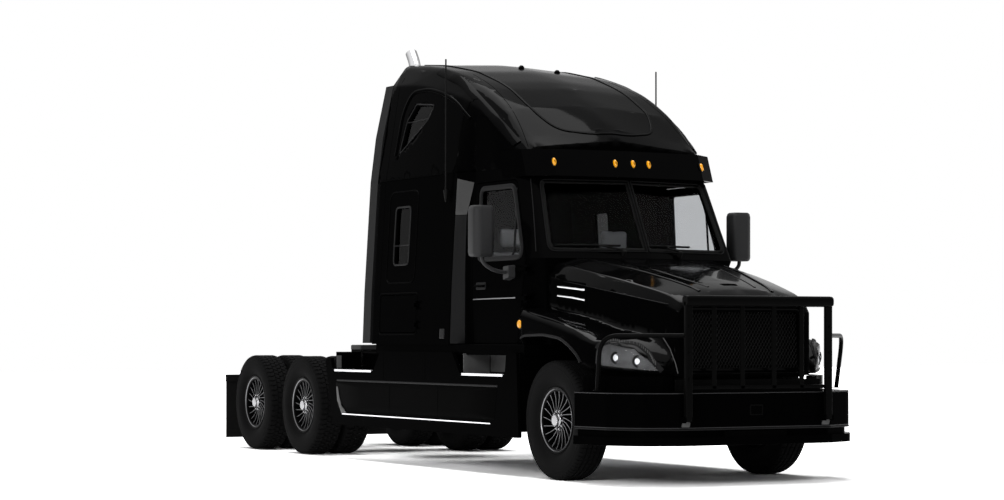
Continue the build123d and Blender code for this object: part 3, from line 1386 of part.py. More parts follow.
def make_flaps():
    found = []
    middle = FLAP_X + FLAP_THICK / 2
    for side in (-1, 1):
        near = min(side * FLAP_IN, side * FLAP_OUT)
        far = max(side * FLAP_IN, side * FLAP_OUT)
        flap = block(FLAP_X, FLAP_X + FLAP_THICK, near, far, FLAP_LOW, FLAP_HIGH)
        bar = rod((middle, side * RAIL_Y, HANGER_Z), (middle, side * FLAP_OUT, HANGER_Z), HANGER_R)
        top = block(
            FLAP_X - FLAP_CLAMP_REAR, FLAP_X + FLAP_CLAMP_FRONT, near, far,
            FLAP_HIGH - FLAP_CLAMP_LAP, HANGER_Z,
        )
        found.append(joined(flap, bar, top))
    return found


def make_seats():
    found = []
    for side in (-1, 1):
        y = side * SEAT_Y
        post = block(SEAT_X - SEAT_POST_HALF, SEAT_X + SEAT_POST_HALF, y - SEAT_POST_HALF, y + SEAT_POST_HALF,
                     SILL_Z + FLOOR_THICK, SEAT_Z - SEAT_PAD)
        rear = SEAT_X - SEAT_LONG / 2
        pad = block(rear, rear + SEAT_LONG, y - SEAT_HALF, y + SEAT_HALF, SEAT_Z - SEAT_PAD, SEAT_Z)
        back = block(
            rear - SEAT_BACK_THICK, rear, y - SEAT_HALF, y + SEAT_HALF,
            SEAT_Z - SEAT_PAD, SEAT_Z + SEAT_BACK_HIGH,
        )
        found.append(joined(post, pad, back))
    return found


def make_dashboard():
    points = [
        (DASH_FRONT, DASH_LOW), (DASH_REAR, DASH_LOW), (DASH_REAR, DASH_HIGH - DASH_BROW_DROP),
        (DASH_FRONT - DASH_TOP_SET, DASH_HIGH), (DASH_FRONT, DASH_HIGH),
    ]
    dash = side_prism(points, DASH_ROUNDS, -DASH_HALF, DASH_HALF)
    lean = radians(COLUMN_LEAN)
    end = (COLUMN_X + 2 * COLUMN_LONG * sin(lean), COLUMN_Y, COLUMN_Z - 2 * COLUMN_LONG * cos(lean))
    return without(dash, rod((COLUMN_X, COLUMN_Y, COLUMN_Z), end, COLUMN_R + RUN_GAP))


def make_bunk():
    base = block(BUNK_REAR, BUNK_FRONT, -BUNK_HALF, BUNK_HALF, SILL_Z + FLOOR_THICK, BUNK_TOP - BUNK_PAD)
    hollow = block(
        BUNK_REAR - BUNK_CUT_OVER, BUNK_FRONT - BUNK_WALL,
        -BUNK_HALF - BUNK_CUT_OVER, BUNK_HALF + BUNK_CUT_OVER,
        SILL_Z + FLOOR_THICK - BUNK_CUT_OVER, BUNK_TOP - BUNK_PAD - BUNK_WALL,
    )
    pad = block(BUNK_REAR, BUNK_FRONT, -BUNK_HALF, BUNK_HALF, BUNK_TOP - BUNK_PAD, BUNK_TOP)
    return joined(without(base, hollow), pad)


def make_steering_wheel():
    ring = Solid.make_torus(STEERING_R, STEERING_TUBE)
    hub = Solid.make_cylinder(STEERING_HUB_R, STEERING_HUB_HIGH).moved(Location((0, 0, -STEERING_HUB_DROP)))
    column = Solid.make_cylinder(COLUMN_R, COLUMN_LONG).moved(Location((0, 0, -COLUMN_LONG)))
    spoke = block(
        0, STEERING_R, -STEERING_SPOKE_HALF, STEERING_SPOKE_HALF, STEERING_SPOKE_LOW, STEERING_SPOKE_TOP,
    )
    spokes = [spoke.rotate(Axis.Z, turn) for turn in STEERING_SPOKE_TURNS]
    wheel = joined(ring, hub, column, *spokes)
    return wheel.rotate(Axis.Y, -COLUMN_LEAN).moved(Location((COLUMN_X, COLUMN_Y, COLUMN_Z)))


def make_visor():
    wires = []
    for z, lean in ((VISOR_LOW_Z, 0), (VISOR_HIGH_Z, -VISOR_LEAN)):
        half = [(x + lean, y) for x, y in VISOR_PLAN]
        inner = [(x - VISOR_THICK, y - VISOR_THICK if y > 0 else 0) for x, y in reversed(half)]
        far_inner = [(x, -y) for x, y in reversed(inner) if y != 0]
        far_half = [(x, -y) for x, y in reversed(half) if y != 0]
        points = half + inner + far_inner + far_half
        wires.append(outline(points, [0] * len(points), on_xy(z)).outer_wire())
    return without(Solid.make_loft(wires, True), cab_body(SEAT_GAP), roof_body(SEAT_GAP))


def make_marker_lamps(visor, cab):
    found = []
    share = (VISOR_LAMP_Z - VISOR_LOW_Z) / (VISOR_HIGH_Z - VISOR_LOW_Z)
    for y in VISOR_LAMPS_Y:
        nose, wing = VISOR_PLAN[0], VISOR_PLAN[1]
        x = nose[0] + (wing[0] - nose[0]) * abs(y) / wing[1] - VISOR_LEAN * share
        end = (x + VISOR_LAMP_LONG, y, VISOR_LAMP_Z + VISOR_LAMP_RISE)
        found.append(rod((x + VISOR_LAMP_START, y, VISOR_LAMP_Z), end, VISOR_LAMP_R))
    start = (SIDE_LAMP_X, SIDE_LAMP_IN, SIDE_LAMP_Z)
    lamp = rod(start, (SIDE_LAMP_X, SIDE_LAMP_OUT, SIDE_LAMP_Z), SIDE_LAMP_R)
    return without(found, visor) + without(pair(lamp), cab)


def make_antennas():
    foot = (ANTENNA_X, ANTENNA_Y, ANTENNA_LOW - ANTENNA_CUP_HIGH)
    cup = rod(foot, (ANTENNA_X, ANTENNA_Y, ANTENNA_LOW), ANTENNA_CUP_R)
    mast_foot = (ANTENNA_X, ANTENNA_Y, ANTENNA_LOW - ANTENNA_LAP)
    mast = rod(mast_foot, (ANTENNA_X, ANTENNA_Y, ANTENNA_HIGH), ANTENNA_R)
    return pair(joined(cup, mast))


def make_tail():
    lamps = []
    front = FLAP_X - FLAP_CLAMP_REAR
    z = HANGER_Z - TAIL_LAMP_DROP
    for y in TAIL_LAMP_Y:
        lamps += pair(rod((front, y, z), (front - TAIL_LAMP_LONG, y, z), TAIL_LAMP_R))
    return lamps


def main():
    os.makedirs("parts", exist_ok=True)
    cab = make_cab()
    whole_shell = without(cab_body(0), cab_body(-CAB_WALL, SILL_Z + FLOOR_THICK, SEAM_Z + CAB_WALL))
    cab_skin = skin(GLASS_SET_IN, GLASS_THICK)
    roof = make_roof()
    door, door_pane = make_door(whole_shell, cab_skin)
    hatch_prism = side_prism(grown(HATCH_OUTLINE, -PANEL_GAP), HATCH_ROUNDS, CUT_IN_Y, CUT_OUT_Y)
    hatch = joined(shared(whole_shell, hatch_prism), hinge_leaf(BAGGAGE_HINGE))
    mirror = make_mirror()
    save("chassis_frame", make_frame())
    save("front_axle", make_front_axle())
    save("drive_axles", make_drive_axles())
    save("rear_suspension", make_rear_suspension())
    mount = block(
        ENGINE_MOUNT_X, ENGINE_MOUNT_X + ENGINE_MOUNT_LONG,
        ENGINE_HALF - OVERLAP, RAIL_Y - RAIL_WALL - SEAT_GAP,
        RAIL_TOP - RAIL_HIGH + RAIL_WALL + SEAT_GAP, ENGINE_MOUNT_TOP,
    )
    save("engine_and_gearbox", joined(
        pair(mount),
        block(ENGINE_REAR, ENGINE_FRONT, -ENGINE_HALF, ENGINE_HALF, ENGINE_LOW, ENGINE_HIGH),
        block(GEARBOX_REAR, ENGINE_REAR, -GEARBOX_HALF, GEARBOX_HALF, GEARBOX_LOW, GEARBOX_HIGH),
    ))
    save("radiator", block(
        RADIATOR_X, RADIATOR_X + RADIATOR_THICK, -RADIATOR_HALF, RADIATOR_HALF, RADIATOR_LOW, RADIATOR_HIGH,
    ))
    save("fuel_tanks", pair(rod((TANK_REAR, TANK_Y, TANK_Z), (TANK_FRONT, TANK_Y, TANK_Z), TANK_R)))
    save("cab_shell", cab)
    save("roof_fairing", roof)
    visor = make_visor()
    save("sun_visor", visor)
    save("cab_glass", make_glass(cab_skin))
    save("marker_lamps", make_marker_lamps(visor, cab))
    save("bumper", make_bumper())
    save("side_fairings", make_skirts())
    save("side_extenders", make_extenders())
    save("exhaust_stack", make_stack())
    save("fifth_wheel_base", make_fifth_base())
    save("fifth_wheel_plate", make_fifth_plate())
    save("deck_plate", block(DECK_REAR, DECK_FRONT, -DECK_HALF, DECK_HALF, RAIL_TOP, RAIL_TOP + DECK_THICK))
    flaps = make_flaps()
    save("mud_flaps", flaps)
    save("tail_lamps", without(make_tail(), flaps))
    save("antennas", make_antennas())
    save("seats", make_seats())
    save("dashboard", make_dashboard())
    save("bunk", make_bunk())
    save("steering_wheel", make_steering_wheel())
    save("hood", make_hood())
    save("headlamps", make_headlamps())
    save("grille", make_grille())
    save("grille_guard", make_guard())
    save("tie_rod", make_tie_rod())
    for name, side in (("right", -1), ("left", 1)):
        turned = (lambda shape: shape) if side > 0 else flipped
        save(f"door_{name}", [turned(piece) for piece in solids_of(door)])
        save(f"door_glass_{name}", [turned(piece) for piece in solids_of(door_pane)])
        save(f"mirror_{name}", [turned(piece) for piece in solids_of(mirror)])
        save(f"baggage_door_{name}", [turned(piece) for piece in solids_of(hatch)])
        save(f"knuckle_{name}", make_knuckle(side))
        rim_solid, tyre_solid = front_wheel(side)
        save(f"front_rim_{name}", rim_solid)
        save(f"front_tyre_{name}", tyre_solid)
        for place, x in (("first", FIRST_DRIVE_X), ("second", SECOND_DRIVE_X)):
            rims, tyres = twin_wheel(x, side)
            save(f"{place}_drive_rims_{name}", rims)
            save(f"{place}_drive_tyres_{name}", tyres)


main()
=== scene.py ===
import bpy
import bmesh
import json
from math import cos, pi, radians, sin, tan
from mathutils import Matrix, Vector
from mathutils.bvhtree import BVHTree


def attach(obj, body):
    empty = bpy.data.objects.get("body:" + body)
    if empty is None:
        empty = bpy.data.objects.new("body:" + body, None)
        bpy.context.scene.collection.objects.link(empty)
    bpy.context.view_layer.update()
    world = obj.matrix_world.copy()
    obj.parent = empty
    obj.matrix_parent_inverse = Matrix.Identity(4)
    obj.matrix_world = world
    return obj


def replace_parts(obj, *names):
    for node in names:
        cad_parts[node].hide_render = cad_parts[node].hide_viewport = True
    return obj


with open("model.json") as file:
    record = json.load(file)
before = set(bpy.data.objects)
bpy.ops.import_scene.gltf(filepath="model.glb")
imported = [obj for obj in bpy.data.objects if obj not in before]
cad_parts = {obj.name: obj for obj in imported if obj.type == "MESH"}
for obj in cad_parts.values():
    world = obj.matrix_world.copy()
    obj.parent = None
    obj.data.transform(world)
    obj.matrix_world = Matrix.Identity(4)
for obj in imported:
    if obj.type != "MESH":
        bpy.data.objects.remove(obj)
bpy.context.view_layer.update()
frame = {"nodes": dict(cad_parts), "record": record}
NODES = frame["nodes"]
SIDES = (("right", -1), ("left", 1))
UP, AHEAD, BACK = Vector((0, 0, 1)), Vector((1, 0, 0)), Vector((-1, 0, 0))

# Driving places, in metres from the front axle, the middle line and the ground
SHIFT = 3.070
TYRE_R = 0.524
FRONT_WHEEL_Y = 1.044
OUTER_WHEEL_Y = 1.068
INNER_WHEEL_Y = 0.738
DRIVE_AXLES = (("first", -5.416), ("second", -6.737))
GUARD_X = 1.440
GUARD_POST_Y = 0.712
COUPLING_X = -5.65
STACK_X, STACK_Y = -3.860, -0.600


def at(x, y, z):
    """Point counted from the front axle, moved to the frame's origin."""
    return Vector((x + SHIFT, y, z))


# Nodes and groups shared by several finishes

def add_node(tree, kind, feeds=None, **settings):
    """New node: settings are its own choices, feeds are values or sockets for its inputs."""
    made = tree.nodes.new(kind)
    for name, value in settings.items():
        setattr(made, name, value)
    for socket, feed in (feeds or {}).items():
        if isinstance(feed, bpy.types.NodeSocket):
            tree.links.new(feed, made.inputs[socket])
        else:
            made.inputs[socket].default_value = feed
    return made


def shader_group(name, inputs, output):
    """Group with number inputs and one output; gives its tree, inputs, end socket and coordinates."""
    tree = bpy.data.node_groups.new(name, "ShaderNodeTree")
    for title, value in inputs.items():
        socket = tree.interface.new_socket(name=title, in_out="INPUT", socket_type="NodeSocketFloat")
        socket.default_value = value
    tree.interface.new_socket(name=output, in_out="OUTPUT", socket_type="NodeSocketFloat")
    given = tree.nodes.new("NodeGroupInput").outputs
    end = tree.nodes.new("NodeGroupOutput").inputs[output]
    return tree, given, end, tree.nodes.new("ShaderNodeTexCoord").outputs


def make_dust_group():
    """Road dust: strongest near the ground, broken up by noise. Puts out a mask."""
    tree, given, end, place = shader_group("road dust", {"Height": 1.2, "Amount": 0.3, "Scale": 6.0}, "Mask")
    split = add_node(tree, "ShaderNodeSeparateXYZ", {0: place["Object"]})
    noise = add_node(tree, "ShaderNodeTexNoise", {
        "Vector": place["Object"], "Scale": given["Scale"], "Detail": 5.0,
    })
    low = add_node(tree, "ShaderNodeMapRange", {
        "Value": split.outputs["Z"], "From Max": given["Height"], "To Min": 1.0, "To Max": 0.0,
    })
    patches = add_node(tree, "ShaderNodeMath", {
        0: low.outputs["Result"], 1: noise.outputs["Fac"],
    }, operation="MULTIPLY")
    scaled = add_node(tree, "ShaderNodeMath", {
        0: patches.outputs[0], 1: given["Amount"],
    }, operation="MULTIPLY", use_clamp=True)
    tree.links.new(scaled.outputs[0], end)
    return tree


def make_grain_group():
    """Grain in two sizes for paint, plastic, rubber and castings. Puts out a height."""
    sizes = {"Coarse": 40.0, "Fine": 400.0, "Balance": 0.5}
    tree, given, end, place = shader_group("surface grain", sizes, "Height")
    mix = add_node(tree, "ShaderNodeMix", {0: given["Balance"]}, data_type="FLOAT")
    for name, slot in (("Coarse", 2), ("Fine", 3)):
        noise = add_node(tree, "ShaderNodeTexNoise", {
            "Vector": place["Object"], "Scale": given[name], "Detail": 3.0,
        })
        tree.links.new(noise.outputs["Fac"], mix.inputs[slot])
    tree.links.new(mix.outputs[0], end)
    return tree


def make_weave_group():
    """Woven cloth: two crossed thread waves. Puts out a height."""
    tree, given, end, place = shader_group("cloth weave", {"Threads": 350.0}, "Height")
    threads = {}
    for k, turn in enumerate(((0, 0, 0), (0, pi / 2, 0))):
        turned = add_node(tree, "ShaderNodeMapping", {"Vector": place["Object"], "Rotation": turn})
        wave = add_node(tree, "ShaderNodeTexWave", {
            "Vector": turned.outputs["Vector"], "Scale": given["Threads"], "Distortion": 0.4,
        })
        threads[k] = wave.outputs["Fac"]
    most = add_node(tree, "ShaderNodeMath", threads, operation="MAXIMUM")
    tree.links.new(most.outputs[0], end)
    return tree


def make_painted_sheen_group():
    """Painted sheen: coat share that grows as a face turns up towards the lamps, so upper faces show more
    reflection. Puts out a mask.
    """
    tree, given, end, place = shader_group("painted sheen on upper faces", {"Full": 0.08}, "Mask")
    split = add_node(tree, "ShaderNodeSeparateXYZ", {0: place["Normal"]})
    share = add_node(tree, "ShaderNodeMapRange", {
        "Value": split.outputs["Z"], "From Min": 0.06, "From Max": 0.75, "To Max": given["Full"],
    })
    tree.links.new(share.outputs["Result"], end)
    return tree


DUST = make_dust_group()
PAINTED_SHEEN = make_painted_sheen_group()
GRAIN = make_grain_group()
WEAVE = make_weave_group()
DUST_COLOUR = (0.05, 0.047, 0.043, 1)
DUST_REACHES = 1.1


def new_material(name):
    """Empty material with its tree and the inputs of its shader."""
    material = bpy.data.materials.new(name)
    material.use_nodes = True
    tree = material.node_tree
    return material, tree, tree.nodes["Principled BSDF"].inputs


def finish_of(name, colour, rough, metal=0.0, specular=0.5, grain=(40.0, 400.0, 0.5), bump=0.0, depth=0.001,
              dust=0.0, vary=0.15, weave=0.0, painted_sheen=0.0):
    """Opaque finish: base colour with slight variation, grain as bump, and dust towards the road."""
    material, tree, shader = new_material(name)
    shader["Metallic"].default_value = metal
    shader["Coat Roughness"].default_value = 0.05
    shader["Specular IOR Level"].default_value = specular
    height = add_node(tree, "ShaderNodeGroup", {
        "Coarse": grain[0], "Fine": grain[1], "Balance": grain[2],
    }, node_tree=GRAIN)
    tone = add_node(tree, "ShaderNodeMix", {
        0: height.outputs["Height"],
        6: (*[c * (1 - vary) for c in colour], 1),
        7: (*[min(1, c * (1 + vary)) for c in colour], 1),
    }, data_type="RGBA")
    dirt = add_node(tree, "ShaderNodeGroup", {"Height": DUST_REACHES, "Amount": dust}, node_tree=DUST)
    soil = add_node(tree, "ShaderNodeMix", {
        0: dirt.outputs["Mask"], 6: tone.outputs[2], 7: DUST_COLOUR,
    }, data_type="RGBA")
    tree.links.new(soil.outputs[2], shader["Base Color"])
    dull = add_node(tree, "ShaderNodeMapRange", {
        "Value": dirt.outputs["Mask"], "To Min": rough, "To Max": min(1.0, rough + 0.35),
    })
    tree.links.new(dull.outputs["Result"], shader["Roughness"])
    # Painted sheen: coat weight that grows on faces turned up towards the lamps.
    if painted_sheen:
        upper = add_node(tree, "ShaderNodeGroup", {"Full": painted_sheen}, node_tree=PAINTED_SHEEN)
        tree.links.new(upper.outputs["Mask"], shader["Coat Weight"])
    if bump:
        relief = height
        if weave:
            relief = add_node(tree, "ShaderNodeGroup", {"Threads": weave}, node_tree=WEAVE)
        raised = add_node(tree, "ShaderNodeBump", {
            "Height": relief.outputs["Height"], "Strength": bump, "Distance": depth,
        })
        tree.links.new(raised.outputs["Normal"], shader["Normal"])
    return material


def clear_finish(name, colour, rough=0.0, through=1.0, ior=1.45, glow=0.0, rear_tint=None):
    """See-through finish, with faint smears in its roughness, and a darker tint on the sleeper's panes."""
    material, tree, shader = new_material(name)
    shader["Base Color"].default_value = (*colour, 1)
    shader["Transmission Weight"].default_value = through
    shader["IOR"].default_value = ior
    if glow:
        shader["Emission Color"].default_value = (*colour, 1)
        shader["Emission Strength"].default_value = glow
    if rear_tint:
        place = add_node(tree, "ShaderNodeTexCoord")
        split = add_node(tree, "ShaderNodeSeparateXYZ", {0: place.outputs["Object"]})
        back = add_node(tree, "ShaderNodeMapRange", {
            "Value": split.outputs["X"], "From Min": 0.70, "From Max": 0.60,
        })
        shade = add_node(tree, "ShaderNodeMix", {
            0: back.outputs["Result"], 6: (*colour, 1), 7: (*rear_tint, 1),
        }, data_type="RGBA")
        tree.links.new(shade.outputs[2], shader["Base Color"])
    smear = add_node(tree, "ShaderNodeGroup", {"Coarse": 3.0, "Balance": 0.1}, node_tree=GRAIN)
    dull = add_node(tree, "ShaderNodeMapRange", {
        "Value": smear.outputs["Height"], "From Min": 0.4, "To Min": rough, "To Max": rough + 0.06,
    })
    tree.links.new(dull.outputs["Result"], shader["Roughness"])
    return material


def metal_with_painted_dark_edges(name, middle, edge, rough):
    """Polished metal whose colour is painted dark where it turns away from the camera: a painted dark
    reflection, as a round pipe shows in a studio.
    """
    material = finish_of(name, middle, rough, metal=1.0, vary=0.03)
    tree = material.node_tree
    base = tree.nodes["Principled BSDF"].inputs["Base Color"]
    turned = add_node(tree, "ShaderNodeLayerWeight", {"Blend": 0.5})
    painted_edge_share = add_node(tree, "ShaderNodeMapRange", {
        "Value": turned.outputs["Facing"], "From Min": 0.25, "From Max": 0.75,
    })
    tone = add_node(tree, "ShaderNodeMix", {
        0: painted_edge_share.outputs["Result"], 6: base.links[0].from_socket, 7: (*edge, 1),
    }, data_type="RGBA")
    tree.links.new(tone.outputs[2], base)
    return material


def grey(level, blue=0.0):
    return (level, level, level + blue)


PAINT_GRAIN = {"grain": (6.0, 900.0, 0.1), "bump": 0.01, "depth": 0.0005}
FINISHES = {
    # painted_sheen puts a painted sheen on the upper faces of these finishes.
    "black_paint": finish_of("gloss_black_paint", grey(0.0012, 0.0001), 0.16, specular=0.001, painted_sheen=0.09,
                             **PAINT_GRAIN),
    # The same black paint with a stronger painted sheen, for the hood and its ridges.
    "hood_paint_stronger_sheen": finish_of("gloss_black_paint_stronger_sheen", grey(0.0012, 0.0001), 0.16, specular=0.002,
                            painted_sheen=0.22, **PAINT_GRAIN),
    "guard_black": finish_of("satin_black_powder_coat", grey(0.0025), 0.3, specular=0.012, bump=0.15,
                             painted_sheen=0.05),
    "frame_black": finish_of("matte_black_frame_paint", grey(0.003), 0.5, specular=0.01, bump=0.3, dust=0.02),
    "cast_black": finish_of("black_casting", grey(0.003), 0.6, specular=0.01, bump=0.6, dust=0.02),
    "cast_grey": finish_of("grey_casting", grey(0.03), 0.6, specular=0.1, bump=0.6, dust=0.1),
    "radiator_alloy": finish_of("radiator_fins", grey(0.004), 0.5, specular=0.02, bump=0.5),
    "polished_alloy": finish_of("polished_alloy", grey(0.32, 0.01), 0.22, metal=1.0, bump=0.05, dust=0.15),
    "rim_alloy": finish_of("dark_wheel_alloy", grey(0.003, 0.0002), 0.3, specular=0.03, bump=0.05),
    "spoke_alloy": finish_of("painted_highlight_alloy", grey(0.16, 0.005), 0.3, metal=1.0, bump=0.05),
    "tread_alloy": finish_of("deck_alloy", grey(0.25, 0.01), 0.4, metal=1.0, bump=0.3, dust=0.2),
    "chrome": finish_of("chrome_plate", grey(0.75, 0.02), 0.08, metal=1.0, vary=0.03),
    "stack_chrome": metal_with_painted_dark_edges("polished_stack_painted_dark_edges", grey(0.75, 0.01), grey(0.01), 0.12),
    "grille_steel": finish_of("grille_wire", grey(0.011), 0.4, specular=0.05, bump=0.1),
    "greased_steel": finish_of("greased_steel", grey(0.012), 0.35, metal=0.2, specular=0.1, bump=0.3,
                               dust=0.06),
    "tyre_rubber": finish_of("tyre_rubber", grey(0.0062, 0.0002), 0.8, specular=0.03, bump=0.5, dust=0.05),
    "rubber_black": finish_of("black_rubber", grey(0.004), 0.6, specular=0.06, bump=0.3, dust=0.05),
    "dark_plastic": finish_of("dark_grained_plastic", grey(0.005, 0.0002), 0.5, specular=0.06, bump=0.5,
                              depth=0.0006),
    "grey_plastic": finish_of("grey_grained_plastic", grey(0.012, 0.0004), 0.5, specular=0.04, bump=0.5,
                              depth=0.0006),
    "housing_grey": finish_of("mirror_housing_grey", grey(0.030, 0.001), 0.45, specular=0.1, bump=0.3,
                              depth=0.0006),
    "flare_grey": finish_of("flare_light_grey", grey(0.05), 0.5, specular=0.2, bump=0.4, depth=0.0006),
    "skirt_grey": finish_of("skirt_satin_grey", grey(0.0013), 0.4, specular=0.002, bump=0.4, depth=0.0006),
    # Unlit black: dark seams and grooves, and painted shade in recesses and openings.
    "seam_and_shade_black": finish_of("unlit_recess_black", grey(0.002), 0.9, specular=0.0, vary=0.1),
    "riser_grey": finish_of("step_riser_grey", grey(0.10), 0.5, specular=0.2, bump=0.4, dust=0.1),
    "mirror_plate": finish_of("mirror_plate", grey(0.7, 0.02), 0.02, metal=1.0, vary=0.02),
    "lamp_bowl": finish_of("lamp_reflector", grey(0.055, 0.002), 0.35, specular=0.2, grain=(9.0, 60.0, 0.1),
                           vary=0.9, bump=0.05),
    "screen_dark": finish_of("dark_instrument_glass", grey(0.004, 0.002), 0.1, vary=0.1),
    "trim_grey": finish_of("grey_cab_lining", grey(0.12), 0.8, bump=0.4),
    "tinted_glass": clear_finish("tinted_glass", (0.66, 0.67, 0.68), ior=1.08, rear_tint=grey(0.05)),
    "lamp_lens": clear_finish("clear_lamp_lens", (0.9, 0.91, 0.92), ior=1.1),
    "projector_glass": clear_finish("lit_projector_glass", (0.95, 0.97, 1.0), 0.05, 0.5, glow=0.5),
    "amber_lens": clear_finish("amber_lens", (1.0, 0.42, 0.0), 0.12, 0.2, glow=0.35),
    "red_lens": clear_finish("red_lens", (0.6, 0.01, 0.01), 0.12, 0.3),
    "seat_cloth": finish_of("grey_seat_cloth", grey(0.34, 0.01), 0.85, bump=0.5, weave=450.0),
}
SLOT_OF = {
    "hood_paint_stronger_sheen": "black_paint", "projector_glass": "lamp_lens", "spoke_alloy": "rim_alloy",
    **dict.fromkeys(("stack_chrome", "mirror_plate", "lamp_bowl"), "chrome"),
    **dict.fromkeys(("riser_grey", "grey_plastic", "housing_grey", "seam_and_shade_black", "screen_dark", "trim_grey",
                     "flare_grey", "skirt_grey"), "dark_plastic"),
}

for part in frame["record"]["subparts"]:
    node = NODES[part["node"]]
    node.data.materials.clear()
    node.data.materials.append(FINISHES[part["material_slot"]])
NODES["side_extenders"].data.materials[0] = FINISHES["grey_plastic"]


# Building pieces

class Shape:
    """Points and faces gathered for one piece."""

    def __init__(self):
        self.points = []
        self.faces = []

    def add(self, points, faces):
        start = len(self.points)
        self.points += [Vector(p) for p in points]
        self.faces += [[start + i for i in face] for face in faces]


def shapes(count):
    return [Shape() for _ in range(count)]


def placed(name, data):
    """Object for a mesh, lamp or camera, in the scene."""
    obj = bpy.data.objects.new(name, data)
    bpy.context.scene.collection.objects.link(obj)
    return obj


def mesh_of(name, shape, merge=0.0, ease=0.0):
    """Mesh of a shape with its faces outward; merge joins near points, ease rounds all edges."""
    mesh = bpy.data.meshes.new(name)
    mesh.from_pydata([tuple(p) for p in shape.points], [], shape.faces)
    bm = bmesh.new()
    bm.from_mesh(mesh)
    if merge:
        bmesh.ops.remove_doubles(bm, verts=bm.verts, dist=merge)
    bmesh.ops.recalc_face_normals(bm, faces=bm.faces)
    if ease:
        bmesh.ops.bevel(bm, geom=list(bm.edges), offset=ease, segments=4, affect="EDGES", profile=0.5)
    bm.to_mesh(mesh)
    bm.free()
    return mesh


def dressed(name, mesh, finish, body, smooth=35, bevel=0.0):
    """Gives a mesh its finish and its body."""
    obj = placed(name, mesh)
    mesh.materials.clear()
    mesh.materials.append(FINISHES[finish])
    mesh.polygons.foreach_set("use_smooth", [True] * len(mesh.polygons))
    mesh.set_sharp_from_angle(angle=radians(smooth))
    if bevel:
        eased = obj.modifiers.new("eased edges", "BEVEL")
        eased.width = bevel
        eased.segments = 2
        eased.limit_method = "ANGLE"
        eased.angle_limit = radians(40)
    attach(obj, body)
    return obj


def piece(name, shape, finish, body, smooth=35, bevel=0.0):
    return dressed(name, mesh_of(name, shape, merge=1e-6), finish, body, smooth, bevel)


def crate(shape, low, high):
    """Box between two corners, counted from the front axle."""
    x0, y0, z0 = (min(a, b) for a, b in zip(low, high))
    x1, y1, z1 = (max(a, b) for a, b in zip(low, high))
    points = [at(x, y, z) for x in (x0, x1) for y in (y0, y1) for z in (z0, z1)]
    faces = [(0, 1, 3, 2), (4, 6, 7, 5), (0, 4, 5, 1), (2, 3, 7, 6), (0, 2, 6, 4), (1, 5, 7, 3)]
    shape.add(points, faces)


def loose_crate(low, high):
    """Box about its own origin, for a repeated shape."""
    found = Shape()
    crate(found, low, high)
    for p in found.points:
        p.x -= SHIFT
    return found


def band_faces(rows, count):
    """Faces between rows of points that each go round once."""
    return [
        (k * count + i, k * count + (i + 1) % count, (k + 1) * count + (i + 1) % count, (k + 1) * count + i)
        for k in range(rows - 1) for i in range(count)
    ]


def prism(shape, low_loop, high_loop):
    """Closed body between two loops of the same number of points."""
    loft(shape, [low_loop, high_loop])


def loft(shape, loops, capped=True):
    """Skin through loops of the same number of points, with both ends closed where capped."""
    count = len(loops[0])
    faces = band_faces(len(loops), count)
    if capped:
        faces.append(list(range(count))[::-1])
        faces.append([(len(loops) - 1) * count + i for i in range(count)])
    shape.add([p for loop in loops for p in loop], faces)


def ring_loft(shape, loops):
    """Skin through loops, from the last one back to the first."""
    loft(shape, loops + loops[:1], capped=False)


def circle(steps):
    """Cosine and sine of even turns."""
    return [(cos(2 * pi * k / steps), sin(2 * pi * k / steps)) for k in range(steps)]


def standing(loop, x, side=1):
    """Outline drawn as y and z, stood across the truck at one x."""
    return [at(x, side * p.x, p.y) for p in loop]


def lying(loop, z):
    """Outline drawn as x and y, laid flat at one height."""
    return [at(p.x, p.y, z) for p in loop]


def lengthwise(loop, y):
    """Outline drawn as x and z, stood along the truck at one y."""
    return [at(p.x, y, p.y) for p in loop]


def heading(path, i, closed):
    """Direction of a path at one of its points."""
    if closed:
        return path[(i + 1) % len(path)] - path[i - 1]
    return path[min(i + 1, len(path) - 1)] - path[max(i - 1, 0)]


def tube(shape, path, radius, sides=10, closed=False, flat=1.0):
    """Round bar along a path; flat squeezes it along its second direction."""
    rows = []
    side = None
    for i, place in enumerate(path):
        ahead = heading(path, i, closed).normalized()
        if side is None:
            side = ahead.orthogonal().normalized()
        side = (side - ahead * side.dot(ahead)).normalized()
        other = ahead.cross(side)
        thick = radius[i] if isinstance(radius, (list, tuple)) else radius
        rows.append([place + side * thick * c + other * thick * flat * s for c, s in circle(sides)])
    if closed:
        ring_loft(shape, rows)
    else:
        loft(shape, rows)


def turned_corner(start, here, end, steps):
    """Points that lead smoothly round one corner."""
    shares = [k / steps for k in range(steps + 1)]
    return [start * (1 - t) ** 2 + here * 2 * t * (1 - t) + end * t ** 2 for t in shares]


def eased_path(corners, reach, steps=6):
    """Path through corners, each inner corner turned smoothly over a reach."""
    corners = [Vector(c) for c in corners]
    path = [corners[0]]
    for before, here, after in zip(corners, corners[1:], corners[2:]):
        start = here + (before - here).normalized() * min(reach, (before - here).length / 2)
        end = here + (after - here).normalized() * min(reach, (after - here).length / 2)
        path += turned_corner(start, here, end, steps)
    path.append(corners[-1])
    return path


def eased_flat(corners, reach, steps=5):
    """The same for a flat path."""
    lifted = eased_path([(p[0], p[1], 0) for p in corners], reach, steps)
    return [(p.x, p.y) for p in lifted]


def rounded(corners, radii, steps=5):
    """Flat outline with each corner turned by its own radius."""
    corners = [Vector(c) for c in corners]
    loop = []
    for i, here in enumerate(corners):
        r = radii[i] if isinstance(radii, (list, tuple)) else radii
        if r <= 0:
            loop.append(here)
            continue
        back = (corners[i - 1] - here).normalized()
        ahead = (corners[(i + 1) % len(corners)] - here).normalized()
        reach = r / tan(back.angle(ahead) / 2)
        loop += turned_corner(here + back * reach, here, here + ahead * reach, steps)
    return loop


